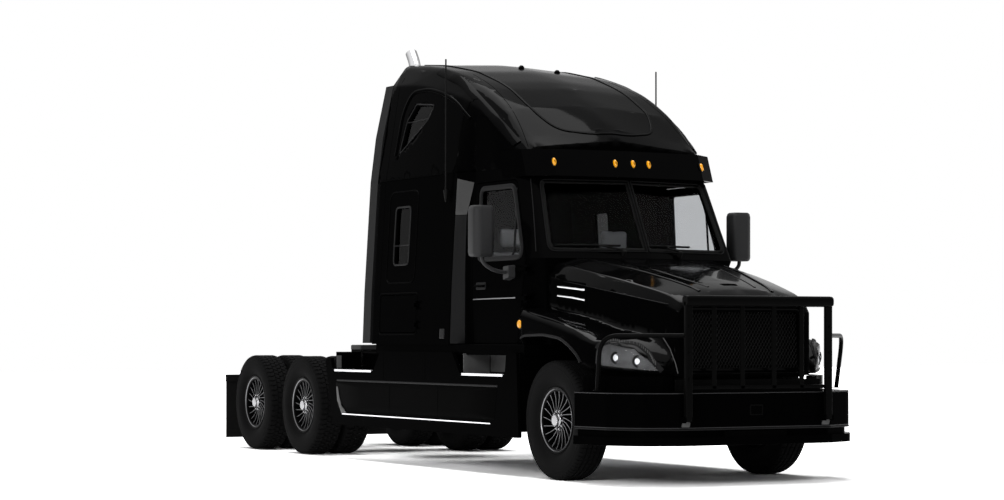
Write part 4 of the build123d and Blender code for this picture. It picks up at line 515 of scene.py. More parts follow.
def oblong(low, high, radius, steps=5):
    """Rounded rectangle between two flat corners."""
    (x0, y0), (x1, y1) = low, high
    return rounded([(x0, y0), (x1, y0), (x1, y1), (x0, y1)], radius, steps)


def dense(loop, step, closed=True):
    """Outline or path with extra points, no further apart than a step."""
    loop = [Vector(p) for p in loop]
    result = []
    count = len(loop)
    for i in range(count if closed else count - 1):
        start, end = loop[i], loop[(i + 1) % count]
        parts = max(1, int((end - start).length / step))
        result += [start.lerp(end, k / parts) for k in range(parts)]
    if not closed:
        result.append(loop[-1])
    return result


def shrunk(loop, inset):
    """Flat outline moved inward by one distance."""
    area = sum(p.x * q.y - q.x * p.y for p, q in zip(loop, loop[1:] + loop[:1]))
    turn = 1 if area > 0 else -1
    result = []
    for i, p in enumerate(loop):
        ahead = heading(loop, i, True)
        if ahead.length < 1e-9:
            result.append(p)
            continue
        ahead.normalize()
        result.append(p + Vector((-ahead.y, ahead.x)) * turn * inset)
    return result


def lathe(shape, profile, centre, steps=48):
    """Ring about a sideways axle: profile rows are radius and sideways offset."""
    rows = [[centre + Vector((r * c, side, r * s)) for r, side in profile] for c, s in circle(steps)]
    ring_loft(shape, rows)


def turned_about(shape, profile, centre, axis, steps=24):
    """Solid of revolution about any axis; profile rows are radius and distance along it."""
    axis = axis.normalized()
    side = axis.orthogonal().normalized()
    other = axis.cross(side)
    rows = []
    for r, along in profile:
        r = max(r, 1e-5)
        rows.append([centre + axis * along + side * r * c + other * r * s for c, s in circle(steps)])
    loft(shape, rows)


# Laying trim on the bodywork

SKINS = {}


def merged_copy(node):
    """CAD skin in one piece, to be worked on."""
    bm = bmesh.new()
    bm.from_mesh(NODES[node].data)
    bmesh.ops.remove_doubles(bm, verts=bm.verts, dist=1e-5)
    return bm


def softened(node, rounds, keep=40, longest=0.09):
    """Finer copy of a CAD skin with its shallow edges eased and its hard edges kept."""
    bm = merged_copy(node)
    bmesh.ops.triangulate(bm, faces=bm.faces)
    for _ in range(6):
        long = [edge for edge in bm.edges if edge.calc_length() > longest]
        if not long:
            break
        bmesh.ops.subdivide_edges(bm, edges=long, cuts=1)
        bmesh.ops.triangulate(bm, faces=bm.faces)
    hard = [edge for edge in bm.edges if len(edge.link_faces) != 2 or edge.calc_face_angle() > radians(keep)]
    fixed = {v for edge in hard for v in edge.verts}
    free = [v for v in bm.verts if v not in fixed]
    for _ in range(rounds):
        bmesh.ops.smooth_vert(bm, verts=free, factor=0.5, use_axis_x=True, use_axis_y=True, use_axis_z=True)
    mesh = bpy.data.meshes.new(f"{node}_skin")
    bm.to_mesh(mesh)
    bm.free()
    SKINS[node] = mesh
    return mesh


def surface_of(*nodes):
    """Shown skins of some nodes, for finding places on them."""
    points, faces = [], []
    for name in nodes:
        mesh = SKINS.get(name, NODES[name].data)
        start = len(points)
        points += [v.co.copy() for v in mesh.vertices]
        faces += [[start + i for i in face.vertices] for face in mesh.polygons]
    return BVHTree.FromPolygons(points, faces)


def from_side(side):
    return (lambda p: at(p[0], side * 2.0, p[1])), Vector((0, -side, 0))


FROM_AHEAD = (lambda p: at(3.0, p[0], p[1])), BACK
FROM_ABOVE = (lambda p: at(p[0], p[1], 6.0)), -UP


def laid(tree, loop, view):
    """Where an outline meets the bodywork, with the outward directions there."""
    put, along = view
    places, outs = [], []
    for p in loop:
        spot, out, _, _ = tree.ray_cast(put(p), along)
        if spot is None:
            continue
        if out.dot(along) > 0:
            out = -out
        places.append(spot)
        outs.append(out)
    return places, outs


def strip(shape, places, outs, wide, proud, sunk=0.004, closed=True):
    """Crowned strip lying on the bodywork."""
    if len(places) < 3:
        return
    edge, crown = proud * 0.5, proud
    section = ((-0.5, -sunk), (-0.5, edge), (-0.3, crown), (0.3, crown), (0.5, edge), (0.5, -sunk))
    rows = []
    for i, (place, out) in enumerate(zip(places, outs)):
        side = heading(places, i, closed).cross(out).normalized()
        rows.append([place + side * share * wide + out * height for share, height in section])
    if closed:
        ring_loft(shape, rows)
    else:
        loft(shape, rows)


def strip_on(shape, tree, loop, view, wide, proud, closed=True, step=0.04, sunk=0.004):
    places, outs = laid(tree, dense(loop, step, closed), view)
    strip(shape, places, outs, wide, proud, sunk, closed)


def line_on(shape, tree, path, view, wide, proud, step=0.04):
    """Open strip along a path."""
    strip_on(shape, tree, path, view, wide, proud, closed=False, step=step)


def plate_on(shape, tree, loop, view, levels, step=0.05, sunk=0.004, rings=3):
    """Plate lying on the bodywork; levels are rows of inset from the edge and height."""
    loop = dense(loop, step)
    count = len(loop)
    middle = sum(loop, Vector((0, 0))) / count
    flats = [(loop, -sunk)] + [(shrunk(loop, inset), height) for inset, height in levels]
    last, height = flats[-1]
    flats += [([middle.lerp(p, share / rings) for p in last], height) for share in range(rings - 1, 0, -1)]
    rows = []
    for flat, lift in flats:
        places, outs = laid(tree, flat, view)
        if len(places) != count:
            return
        rows.append([place + out * lift for place, out in zip(places, outs)])
    (place,), (out,) = laid(tree, [middle], view)
    points = [p for row in rows for p in row] + [place + out * height]
    faces = [list(range(count))[::-1]] + band_faces(len(rows), count)
    start = (len(rows) - 1) * count
    faces += [(start + i, start + (i + 1) % count, len(points) - 1) for i in range(count)]
    shape.add(points, faces)


# Repeats made by geometry nodes

def repeat_tree(name, sockets):
    """Tree with named inputs; gives the tree, their identifiers, and the sockets they feed from."""
    tree = bpy.data.node_groups.new(name, "GeometryNodeTree")
    tree.interface.new_socket(name="Geometry", in_out="INPUT", socket_type="NodeSocketGeometry")
    ids = {}
    for title, kind in (*sockets.items(), ("Finish", "Material")):
        made = tree.interface.new_socket(name=title, in_out="INPUT", socket_type=f"NodeSocket{kind}")
        ids[title] = made.identifier
    tree.interface.new_socket(name="Geometry", in_out="OUTPUT", socket_type="NodeSocketGeometry")
    return tree, ids, tree.nodes.new("NodeGroupInput").outputs


def tree_end(tree, geometry, given):
    real = add_node(tree, "GeometryNodeRealizeInstances", {"Geometry": geometry})
    paint = add_node(tree, "GeometryNodeSetMaterial", {
        "Geometry": real.outputs["Geometry"], "Material": given["Finish"],
    })
    add_node(tree, "NodeGroupOutput", {"Geometry": paint.outputs["Geometry"]})


def copies_on(tree, points, given, **turn):
    """Copies of the given shape on points."""
    info = add_node(tree, "GeometryNodeObjectInfo", {"Object": given["Shape"]})
    put = add_node(tree, "GeometryNodeInstanceOnPoints", {
        "Points": points, "Instance": info.outputs["Geometry"], **turn,
    })
    tree_end(tree, put.outputs["Instances"], given)


def make_wheel_ring_tree():
    """Copies of a shape turned about a sideways axle through a centre."""
    sockets = {"Shape": "Object", "Count": "Int", "Centre": "Vector", "Phase": "Float"}
    tree, ids, given = repeat_tree("ring about an axle", sockets)
    points = add_node(tree, "GeometryNodePoints", {"Count": given["Count"], "Position": given["Centre"]})
    index = add_node(tree, "GeometryNodeInputIndex")
    share = add_node(tree, "ShaderNodeMath", {0: index.outputs[0], 1: given["Count"]}, operation="DIVIDE")
    turn = add_node(tree, "ShaderNodeMath", {
        0: share.outputs[0], 1: 2 * pi, 2: given["Phase"],
    }, operation="MULTIPLY_ADD")
    angles = add_node(tree, "ShaderNodeCombineXYZ", {"Y": turn.outputs[0]})
    copies_on(tree, points.outputs[0], given, Rotation=angles.outputs[0])
    return tree, ids


def make_row_tree():
    """Copies of a shape along a straight line."""
    sockets = {"Shape": "Object", "Count": "Int", "Start": "Vector", "Step": "Vector"}
    tree, ids, given = repeat_tree("row along a line", sockets)
    row = add_node(tree, "GeometryNodeMeshLine", {
        "Count": given["Count"], "Start Location": given["Start"], "Offset": given["Step"],
    }, mode="OFFSET")
    copies_on(tree, row.outputs["Mesh"], given)
    return tree, ids


def make_wire_tree():
    """Round wire along every edge of a drawn net."""
    tree, ids, given = repeat_tree("wire along edges", {"Radius": "Float", "Sides": "Int"})
    curve = add_node(tree, "GeometryNodeMeshToCurve", {"Mesh": given["Geometry"]})
    ring = add_node(tree, "GeometryNodeCurvePrimitiveCircle", {
        "Radius": given["Radius"], "Resolution": given["Sides"],
    })
    sweep = add_node(tree, "GeometryNodeCurveToMesh", {
        "Curve": curve.outputs["Curve"], "Profile Curve": ring.outputs["Curve"], "Fill Caps": True,
    })
    tree_end(tree, sweep.outputs["Mesh"], given)
    return tree, ids


RING_TREE = make_wheel_ring_tree()
ROW_TREE = make_row_tree()
WIRE_TREE = make_wire_tree()


def plain_mesh(obj):
    """Mesh of an object with its modifiers worked out."""
    return bpy.data.meshes.new_from_object(obj.evaluated_get(bpy.context.evaluated_depsgraph_get()))


def grow_into(shape, tree_and_ids, values, start_mesh=None):
    """Runs one geometry tree and adds its plain mesh to a shape."""
    tree, ids = tree_and_ids
    holder = placed("holder", start_mesh or bpy.data.meshes.new("start"))
    modifier = holder.modifiers.new("repeat", "NODES")
    modifier.node_group = tree
    for name, value in values.items():
        modifier[ids[name]] = value
    mesh = plain_mesh(holder)
    bpy.data.objects.remove(holder)
    shape.add([v.co.copy() for v in mesh.vertices], [list(face.vertices) for face in mesh.polygons])
    bpy.data.meshes.remove(mesh)


def ring_into(shape, pattern, count, centre, phase=0.0):
    holder = placed("pattern", mesh_of("pattern", pattern))
    grow_into(shape, RING_TREE, {"Shape": holder, "Count": count, "Centre": centre, "Phase": phase})
    bpy.data.objects.remove(holder)


def row_into(shape, pattern, count, start, step):
    holder = placed("pattern", mesh_of("pattern", pattern))
    grow_into(shape, ROW_TREE, {"Shape": holder, "Count": count, "Start": start, "Step": step})
    bpy.data.objects.remove(holder)


def bolt_shape(radius, high, axis):
    """Hexagon bolt head with a washer, standing along an axis."""
    found = Shape()
    washer = high * 0.3
    turned_about(found, [(0, 0), (radius * 1.5, 0), (radius * 1.5, washer), (0, washer)], Vector(), axis, 12)
    head = [(0, washer), (radius, washer), (radius, high * 0.9), (radius * 0.8, high), (0, high)]
    turned_about(found, head, Vector(), axis, 6)
    return found


# Tyres

STEER_LUGS, DRIVE_LUGS = 76, 58
TYRE_SIDE = [
    (0.281, 0.100), (0.295, 0.1035), (0.299, 0.109), (0.306, 0.111), (0.311, 0.110), (0.335, 0.126),
    (0.365, 0.137), (0.400, 0.141), (0.432, 0.1405), (0.450, 0.138), (0.453, 0.1395), (0.458, 0.1395),
    (0.461, 0.137), (0.483, 0.1345), (0.498, 0.130), (0.506, 0.124), (0.510, 0.114),
]


def tyre_carcass(shape, centre):
    profile = [(r, side) for r, side in TYRE_SIDE] + [(0.5105, 0.0)]
    profile += [(r, -side) for r, side in reversed(TYRE_SIDE)]
    profile += [(0.270, -0.08), (0.270, 0.08)]
    lathe(shape, profile, centre, 96)


def tread_block(low_y, high_y, long, slant):
    """One lug of the tread, standing outward along X from the wheel's axle."""
    found = Shape()
    base, top, ease = 0.505, TYRE_R - 0.0012, 0.003
    rows = []
    for y, move in ((low_y, -slant), (high_y, slant)):
        rear, front = move - long / 2, move + long / 2
        rows.append([Vector((x, y, z)) for x, z in (
            (base, rear), (top - ease, rear), (top, rear + ease), (top, front - ease), (top - ease, front),
            (base, front),
        )])
    loft(found, rows)
    return found


def shoulder_lug(side, long):
    """Lug that folds over the tyre's shoulder."""
    found = Shape()
    rows = []
    for r, y in ((TYRE_R - 0.002, 0.098), (TYRE_R - 0.005, 0.112), (0.514, 0.1225), (0.500, 0.1325),
                 (0.490, 0.1352)):
        inner, outer = (r - 0.012, side * (y - 0.010)), (r, side * y)
        rows.append([
            Vector((*inner, -long / 2)), Vector((*outer, -long / 2)),
            Vector((*outer, long / 2)), Vector((*inner, long / 2)),
        ])
    loft(found, rows)
    return found


def steer_tyre(shape, centre):
    tyre_carcass(shape, centre)
    long = 2 * pi * TYRE_R / STEER_LUGS * 0.93
    for low, high in ((-0.100, -0.074), (-0.064, -0.029), (-0.018, 0.018), (0.029, 0.064), (0.074, 0.100)):
        ring_into(shape, tread_block(low, high, long, 0.002), STEER_LUGS, centre)
    for side in (-1, 1):
        ring_into(shape, shoulder_lug(side, 0.034), STEER_LUGS, centre)


def drive_tyre(shape, centre):
    tyre_carcass(shape, centre)
    long = 2 * pi * TYRE_R / DRIVE_LUGS * 0.82
    for low, high, slant, phase in ((-0.096, -0.054, 0.006, 0.0), (-0.046, -0.003, -0.006, 0.05),
                                    (0.003, 0.046, 0.006, 0.0), (0.054, 0.096, -0.006, 0.05)):
        ring_into(shape, tread_block(low, high, long, slant), DRIVE_LUGS, centre, phase)
    for side in (-1, 1):
        ring_into(shape, shoulder_lug(side, 0.036), DRIVE_LUGS, centre)


def make_tyres():
    for name, side in SIDES:
        shape = Shape()
        steer_tyre(shape, at(0, side * FRONT_WHEEL_Y, TYRE_R))
        made = piece(f"front_tyre_tread_{name}", shape, "tyre_rubber", f"front_wheel_{name}", 30)
        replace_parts(made, f"front_tyre_{name}")
        for place, x in DRIVE_AXLES:
            shape = Shape()
            for y in (OUTER_WHEEL_Y, INNER_WHEEL_Y):
                drive_tyre(shape, at(x, side * y, TYRE_R))
            body = f"{place}_drive_wheels_{name}"
            made = piece(f"{place}_drive_tyre_treads_{name}", shape, "tyre_rubber", body, 30)
            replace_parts(made, f"{place}_drive_tyres_{name}")


# Wheels

SPOKES, NUTS = 20, 10


def slanted_spoke(out, face):
    """Blade from the hub to the rim, standing along X, its ridge towards the outside."""
    found = Shape()
    rows = []
    for x, z, wide, rise in ((0.060, 0.046, 0.018, -0.004), (0.110, 0.052, 0.012, -0.014),
                             (0.190, 0.056, 0.012, -0.012), (0.270, 0.058, 0.018, 0.006)):
        half = wide / 2
        low, top = out * (face - 0.050), out * (face + rise)
        shoulder = top - out * 0.008
        rows.append([Vector((x, y, z + half * share)) for y, share in (
            (low, -1), (shoulder, -1), (top, -0.35), (top, 0.35), (shoulder, 1), (low, 1),
        )])
    loft(found, rows)
    return found


def spoke_ridge_highlight(out, face):
    """Bright line along one spoke's ridge: painted highlight."""
    found = Shape()
    rows = []
    for x, z, wide, rise in ((0.066, 0.047, 0.0060, -0.005), (0.110, 0.052, 0.0045, -0.014),
                             (0.190, 0.056, 0.0040, -0.012), (0.268, 0.058, 0.0055, 0.005)):
        half = wide / 2
        top = out * (face + rise)
        low, high = top - out * 0.004, top + out * 0.0015
        corners = ((low, -half), (high, -half), (high, half), (low, half))
        rows.append([Vector((x, y, z + across)) for y, across in corners])
    loft(found, rows)
    return found


def rim_barrel(shape, centre):
    half = [(0.268, 0.0), (0.262, 0.060), (0.268, 0.096), (0.279, 0.1045), (0.290, 0.1075), (0.2925, 0.111),
            (0.290, 0.1145), (0.284, 0.1130), (0.276, 0.1090), (0.270, 0.103)]
    inner = [(r - 0.010, side) for r, side in ((0.268, 0.0), (0.262, 0.06), (0.266, 0.098))]
    profile = half + list(reversed(inner)) + [(r, -side) for r, side in inner[1:]]
    profile += [(r, -side) for r, side in reversed(half[1:])]
    lathe(shape, profile, centre, 72)


def outer_wheel(dark, edges, bright, centre, out, face, bore_end):
    """Rim with its spokes, hub, cap and nuts; the hub's bore ends at bore_end inside the wheel."""
    rim_barrel(dark, centre)
    ring_into(dark, slanted_spoke(out, face), SPOKES, centre)
    ring_into(edges, spoke_ridge_highlight(out, face), SPOKES, centre)
    axis = Vector((0, out, 0))
    hub = [(0.046, bore_end), (0.098, bore_end), (0.098, face - 0.030), (0.092, face - 0.010),
           (0.080, face - 0.004), (0.060, face), (0.046, face)]
    lathe(dark, [(r, out * along) for r, along in hub], centre, 40)
    cap = [(0.0, -0.002), (0.058, -0.002), (0.060, 0.006), (0.052, 0.016), (0.050, 0.034), (0.044, 0.039),
           (0.0, 0.040)]
    turned_about(bright, [(r, face + along) for r, along in cap], centre, axis, 36)
    # Bright ring on the rim's lip: painted highlight.
    lip = [(0.2700, 0.1040), (0.2760, 0.1100), (0.2750, 0.1112), (0.2690, 0.1050)]
    lathe(edges, [(r, out * along) for r, along in lip], centre, 72)
    nut = bolt_shape(0.0085, 0.014, axis)
    for p in nut.points:
        p.x += 0.079
        p.y += out * (face - 0.006)
    ring_into(bright, nut, NUTS, centre)


def wheel_pieces(kind, name, body, rim_node, parts):
    """The dark, painted edge highlight and bright pieces of one wheel, shown in place of its rim."""
    dark, edges, bright = parts
    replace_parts(piece(f"{kind}_spokes_{name}", dark, "rim_alloy", body), rim_node)
    piece(f"{kind}_edges_{name}", edges, "spoke_alloy", body)
    piece(f"{kind}_bright_{name}", bright, "polished_alloy", body)


INNER_DISC = [(0.100, 0.080), (0.180, 0.094), (0.262, 0.094), (0.262, 0.082), (0.180, 0.082), (0.100, 0.068)]


def make_wheels():
    for name, side in SIDES:
        parts = shapes(3)
        outer_wheel(*parts, at(0, side * FRONT_WHEEL_Y, TYRE_R), side, 0.092, -0.030)
        wheel_pieces("front_wheel", name, f"front_wheel_{name}", f"front_rim_{name}", parts)
        for place, x in DRIVE_AXLES:
            parts = shapes(3)
            outer_wheel(*parts, at(x, side * OUTER_WHEEL_Y, TYRE_R), side, 0.084, -0.270)
            inner = at(x, side * INNER_WHEEL_Y, TYRE_R)
            rim_barrel(parts[0], inner)
            lathe(parts[0], [(r, side * along) for r, along in INNER_DISC], inner, 48)
            body, rims = f"{place}_drive_wheels_{name}", f"{place}_drive_rims_{name}"
            wheel_pieces(f"{place}_drive", name, body, rims, parts)


# Grille, guard and bumper

GRILLE_LOW, GRILLE_HIGH, GRILLE_HALF = 0.978, 1.472, 0.564
WIRE_PITCH = 0.033
WIRE_SLOPE = 0.62


def diamond_net():
    """Two crossed sets of slanted lines, cut off at the grille's sides."""
    points, edges = [], []
    high = GRILLE_HIGH - GRILLE_LOW
    for slope in (-1, 1):
        across = slope * high * WIRE_SLOPE
        start = -1.4
        while start < 1.4:
            leaves = sorted(((-GRILLE_HALF - start) / across, (GRILLE_HALF - start) / across))
            t0, t1 = max(leaves[0], 0.0), min(leaves[1], 1.0)
            if t1 - t0 > 0.03:
                x = 1.196 + slope * 0.0025
                points += [at(x, start + across * t, GRILLE_LOW + high * t) for t in (t0, t1)]
                edges.append((len(points) - 2, len(points) - 1))
            start += WIRE_PITCH
    net = bpy.data.meshes.new("net")
    net.from_pydata([tuple(p) for p in points], edges, [])
    return net


def make_grille():
    wire, surround, backing = shapes(3)
    grow_into(wire, WIRE_TREE, {"Radius": 0.0030, "Sides": 5}, diamond_net())
    piece("grille_diamond_wire", wire, "grille_steel", "hood")
    ring = rounded([(-0.587, 0.963), (0.587, 0.963), (0.568, 1.487), (-0.568, 1.487)], 0.05)
    section = ((0.0, 1.084), (-0.011, 1.190), (-0.011, 1.222), (0.004, 1.232), (0.022, 1.222), (0.026, 1.084))
    ring_loft(surround, [standing(shrunk(ring, inset), x) for inset, x in section])
    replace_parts(piece("grille_surround", surround, "black_paint", "hood", 50), "grille")
    prism(backing, standing(ring, 1.078), standing(ring, 1.085))
    piece("grille_shade", backing, "seam_and_shade_black", "hood")


def make_nose_panels():
    """Panel below the grille, and the hood's inner panels with the walls of its wheel wells."""
    apron, inner = shapes(2)
    crate(apron, (1.278, -0.740, 0.785), (1.286, 0.740, 0.892))
    piece("bumper_apron_panel", apron, "frame_black", "chassis", 40, 0.002)
    crate(inner, (1.100, -0.700, 0.905), (1.112, 0.700, 0.985))
    for side in (-1, 1):
        crate(inner, (-0.520, side * 0.615, 0.970), (0.620, side * 0.625, 1.350))
    piece("hood_inner_panels", inner, "frame_black", "hood", 40, 0.002)


def flat_bar(shape, foot, top, wide, deep, turn):
    """Upright flat bar with turned edges, from its foot up to a level."""
    x, y, low = foot
    loop = oblong((x - deep / 2, y - wide / 2), (x + deep / 2, y + wide / 2), turn, 3)
    prism(shape, lying(loop, low), lying(loop, top))


def make_guard():
    shape = Shape()
    for side in (-1, 1):
        flat_bar(shape, (GUARD_X, side * GUARD_POST_Y, 0.545), 1.545, 0.066, 0.044, 0.010)
        start = at(GUARD_X, side * GUARD_POST_Y, 1.264)
        loop = [start, at(0.915, side * 1.250, 1.264), at(0.842, side * 1.236, 0.802)]
        tube(shape, eased_path(loop, 0.16, 10), 0.0195, 14)
        turned_about(shape, [(0, 0), (0.034, 0), (0.034, 0.006), (0, 0.006)], at(0.842, side * 1.236, 0.800),
                     UP, 20)
    for y in (-0.445, -0.160, 0.160, 0.445):
        flat_bar(shape, (1.425, y, 0.815), 1.520, 0.044, 0.014, 0.005)
    section = oblong((1.394, 1.508), (1.486, 1.600), 0.036, 6)
    middle = Vector((GUARD_X, 1.554))
    halves = ((-0.745, 0.86), (-0.735, 0.97), (-0.715, 1.0), (0.715, 1.0), (0.735, 0.97), (0.745, 0.86))
    loft(shape, [lengthwise([middle + (p - middle) * squeeze for p in section], y) for y, squeeze in halves])
    rung = oblong((1.418, 0.815), (1.432, 0.845), 0.004, 2)
    prism(shape, lengthwise(rung, -0.70), lengthwise(rung, 0.70))
    for side in (-1, 1):
        start = at(1.462, side * GUARD_POST_Y, 0.90)
        row_into(shape, bolt_shape(0.009, 0.010, AHEAD), 3, start, UP * 0.22)
    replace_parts(piece("guard_bars", shape, "guard_black", "guard", 40), "grille_guard")
    tabs = Shape()
    for side in (-1, 1):
        y = side * GUARD_POST_Y
        points = [(y - 0.045, 0.500), (y + 0.030, 0.500), (y + 0.045, 0.560), (y - 0.030, 0.560)]
        points = rounded(points, 0.006, 2)
        prism(tabs, standing(points, 1.404), standing(points, 1.414))
    piece("guard_foot_tabs", tabs, "riser_grey", "chassis")


BUMPER_HALF = [(0.57, 1.300), (1.010, 1.235), (1.255, 1.070), (1.395, 0.770), (1.395, 0.0)]
BUMPER_TURNS = [0.0, 0.16, 0.16, 0.06, 0.0]


def bumper_line(z, out=0.0):
    """Line round the bumper's face at one level, pushed outward."""
    loop = rounded(BUMPER_HALF, BUMPER_TURNS, 6)
    whole = loop + [Vector((p.x, -p.y)) for p in reversed(loop[:-1])]
    result = []
    for i, p in enumerate(whole):
        ahead = heading(whole, i, False).normalized()
        side = Vector((-ahead.y, ahead.x))
        if side.dot(p) < 0:
            side = -side
        result.append(at(p.x + side.x * out, p.y + side.y * out, z))
    return result


def make_bumper():
    # Grey beads along the bumper's lip and creases: painted highlights on these edges.
    lip = Shape()
    for z, out, radius in ((0.478, -0.004, 0.008), (0.350, 0.004, 0.008), (0.410, 0.002, 0.005)):
        tube(lip, bumper_line(z, out), radius, 8)
    piece("bumper_lip_beads", lip, "grey_plastic", "chassis")
    crease_highlights = Shape()
    for z, out in ((0.781, -0.0045), (0.492, -0.0045)):
        tube(crease_highlights, bumper_line(z, out), 0.006, 8)
    piece("bumper_edge_beads", crease_highlights, "housing_grey", "chassis")
    cover = Shape()
    outer = oblong((-0.090, 0.590), (0.045, 0.682), 0.010, 3)
    outer = [Vector((p.x + 0.0225, p.y)) for p in outer]
    section = ((0.0, 1.394), (0.001, 1.399), (0.006, 1.400), (0.011, 1.398), (0.012, 1.394))
    ring_loft(cover, [standing(shrunk(outer, inset), x) for inset, x in section])
    piece("tow_cover_frame", cover, "guard_black", "chassis")
    plate = Shape()
    inner = shrunk(outer, 0.012)
    prism(plate, standing(inner, 1.392), standing(inner, 1.3965))
    plate_loop = oblong((-0.310, 0.352), (0.310, 0.462), 0.008, 2)
    prism(plate, standing(plate_loop, 1.350), standing(plate_loop, 1.4005))
    piece("bumper_recess_plates", plate, "seam_and_shade_black", "chassis")


# Hood, lamps and cowl

def make_hood_trim():
    hood = surface_of("hood")
    black, chrome, dark, lip_highlights = shapes(4)
    arch = [(-0.612, 0.95), (-0.606, 1.190), (-0.520, 1.258), (-0.137, 1.262), (0.150, 1.232), (0.309, 1.163),
            (0.430, 1.078), (0.484, 0.985)]
    for side in (-1, 1):
        view = from_side(side)
        # Lip round the wheel arch, in light grey: a real lip with a painted highlight on its edge.
        lip = dense(eased_flat(arch, 0.07), 0.03, False)
        path = []
        for p in lip:
            push = (p - Vector((-0.06, 0.9))).normalized() * 0.010
            places, outs = laid(hood, [p + push], view)
            if places:
                path.append(places[0] + outs[0] * 0.004)
        if len(path) > 3:
            tube(lip_highlights, path, 0.013, 10, flat=0.8)
        # Vent panel as an unlit black plate: painted shade behind its bars.
        panel = [(-0.300, 1.545), (0.128, 1.505), (0.085, 1.722), (-0.300, 1.765)]
        plate_on(dark, hood, rounded(panel, 0.02, 3), view, [(0.0, 0.003), (0.004, 0.005)])
        for z0, z1 in ((1.700, 1.662), (1.618, 1.572)):
            line_on(chrome, hood, [(-0.285, z0), (-0.1, z0 - 0.018), (0.095, z1)], view, 0.020, 0.013)
        crease = [(-0.50, 1.800), (-0.2, 1.742), (0.35, 1.652), (0.85, 1.566), (1.10, 1.524)]
        line_on(black, hood, crease, view, 0.016, 0.004, step=0.08)
        seam = [(-0.52, 1.545), (-0.2, 1.490), (0.2, 1.425), (0.5, 1.372)]
        line_on(dark, hood, seam, view, 0.005, 0.0006, step=0.08)
    for side in (-1, 1):
        ridge = [(-0.30, side * 0.640), (0.2, side * 0.560), (0.7, side * 0.452), (1.09, side * 0.375)]
        line_on(black, hood, ridge, FROM_ABOVE, 0.030, 0.009, step=0.08)
        inner = [(-0.34, side * 0.360), (0.2, side * 0.380), (0.75, side * 0.300), (1.02, side * 0.240)]
        line_on(black, hood, inner, FROM_ABOVE, 0.022, 0.005, step=0.08)
    # Front notch as an unlit black plate: painted shade in the notch.
    notch = rounded([(0.955, -0.085), (1.010, -0.072), (1.010, 0.072), (0.955, 0.085)], 0.008, 2)
    plate_on(dark, hood, notch, FROM_ABOVE, [(0.0, 0.002), (0.003, 0.003)])
    piece("hood_ridges", black, "hood_paint_stronger_sheen", "hood", 60)
    piece("wheel_arch_lips", lip_highlights, "grey_plastic", "hood", 60)
    piece("hood_vent_bars", chrome, "chrome", "hood", 60)
    piece("hood_vent_recesses", dark, "seam_and_shade_black", "hood", 60)


LAMP_OUTLINE = [
    (0.640, 1.010), (0.650, 1.150), (0.760, 1.205), (0.960, 1.160), (1.070, 1.060), (1.140, 0.958),
    (0.900, 0.985),
]
LAMP_BROW = [(0.660, 1.150), (0.690, 1.196), (0.770, 1.226), (0.930, 1.200), (1.050, 1.116), (1.150, 0.965)]
LAMP_TURNS = [0.03, 0.04, 0.06, 0.06, 0.06, 0.01, 0.05]
PROJECTORS = ((0.850, 1.076), (1.000, 1.046))
PROJECTOR_R = 0.036
# Path of a painted highlight along the fender's edge beside the lamp.
LAMP_EDGE_HIGHLIGHT = [(1.050, 1.245), (1.130, 1.150), (1.190, 1.030), (1.218, 0.945)]


def make_headlamps():
    skin = surface_of("headlamps")
    dark, glow = shapes(2)
    loop = rounded(LAMP_OUTLINE, LAMP_TURNS, 4)
    for side in (-1, 1):
        view = from_side(side)
        rim_line, outs = laid(skin, dense(shrunk(loop, 0.003), 0.03), view)
        strip(dark, [p - o * 0.010 for p, o in zip(rim_line, outs)], outs, 0.012, 0.008, 0.020)
        for spot in PROJECTORS:
            places, outs = laid(skin, [spot], view)
            if not places:
                continue
            aim = (Vector((0.9, side * 0.45, 0)) + outs[0] * 0.2).normalized()
            start = places[0] - outs[0] * 0.020
            socket = [(0, -0.01), (1.5, -0.01), (1.5, 0.012), (1.1, 0.016), (1, 0.004), (0, 0.004)]
            dome = [(0, 0.0), (0.95, 0.0), (0.8, 0.010), (0.45, 0.017), (0, 0.020)]
            for shape, profile in ((dark, socket), (glow, dome)):
                sized = [(PROJECTOR_R * share, along) for share, along in profile]
                turned_about(shape, sized, start, aim, 28)
    core = merged_copy("headlamps")
    core.normal_update()
    for v, out in [(v, v.normal.copy()) for v in core.verts]:
        v.co -= out * 0.007
    mesh = bpy.data.meshes.new("headlamp_bowls")
    core.to_mesh(mesh)
    core.free()
    dressed("headlamp_bowls", mesh, "lamp_bowl", "hood", 40)
    piece("headlamp_rims", dark, "grey_plastic", "hood", 40)
    brow, comb, edge = shapes(3)
    shell = surface_of("hood", "headlamps")
    spine = eased_flat([(0.700, 1.195), (0.765, 1.224), (0.930, 1.198), (1.045, 1.118), (1.110, 1.035)], 0.06)
    for side in (-1, 1):
        view = from_side(side)
        arc = eased_flat(LAMP_BROW, 0.06)
        line_on(brow, shell, arc, view, 0.046, 0.004, step=0.025)
        places, outs = laid(shell, dense(spine, 0.017, False), view)
        for place, out in zip(places, outs):
            foot = place + out * 0.005
            tube(comb, [foot - UP * 0.018, place + out * 0.008, foot + UP * 0.016], 0.0045, 5)
        # Light grey line along the fender's edge: painted highlight.
        line_on(edge, shell, LAMP_EDGE_HIGHLIGHT, view, 0.009, 0.005)
    piece("headlamp_brows", brow, "grey_plastic", "hood", 50)
    piece("headlamp_brow_ribs", comb, "riser_grey", "hood", 60)
    piece("headlamp_outer_edges", edge, "riser_grey", "hood", 60)
    piece("headlamp_projectors", glow, "projector_glass", "hood", 40)


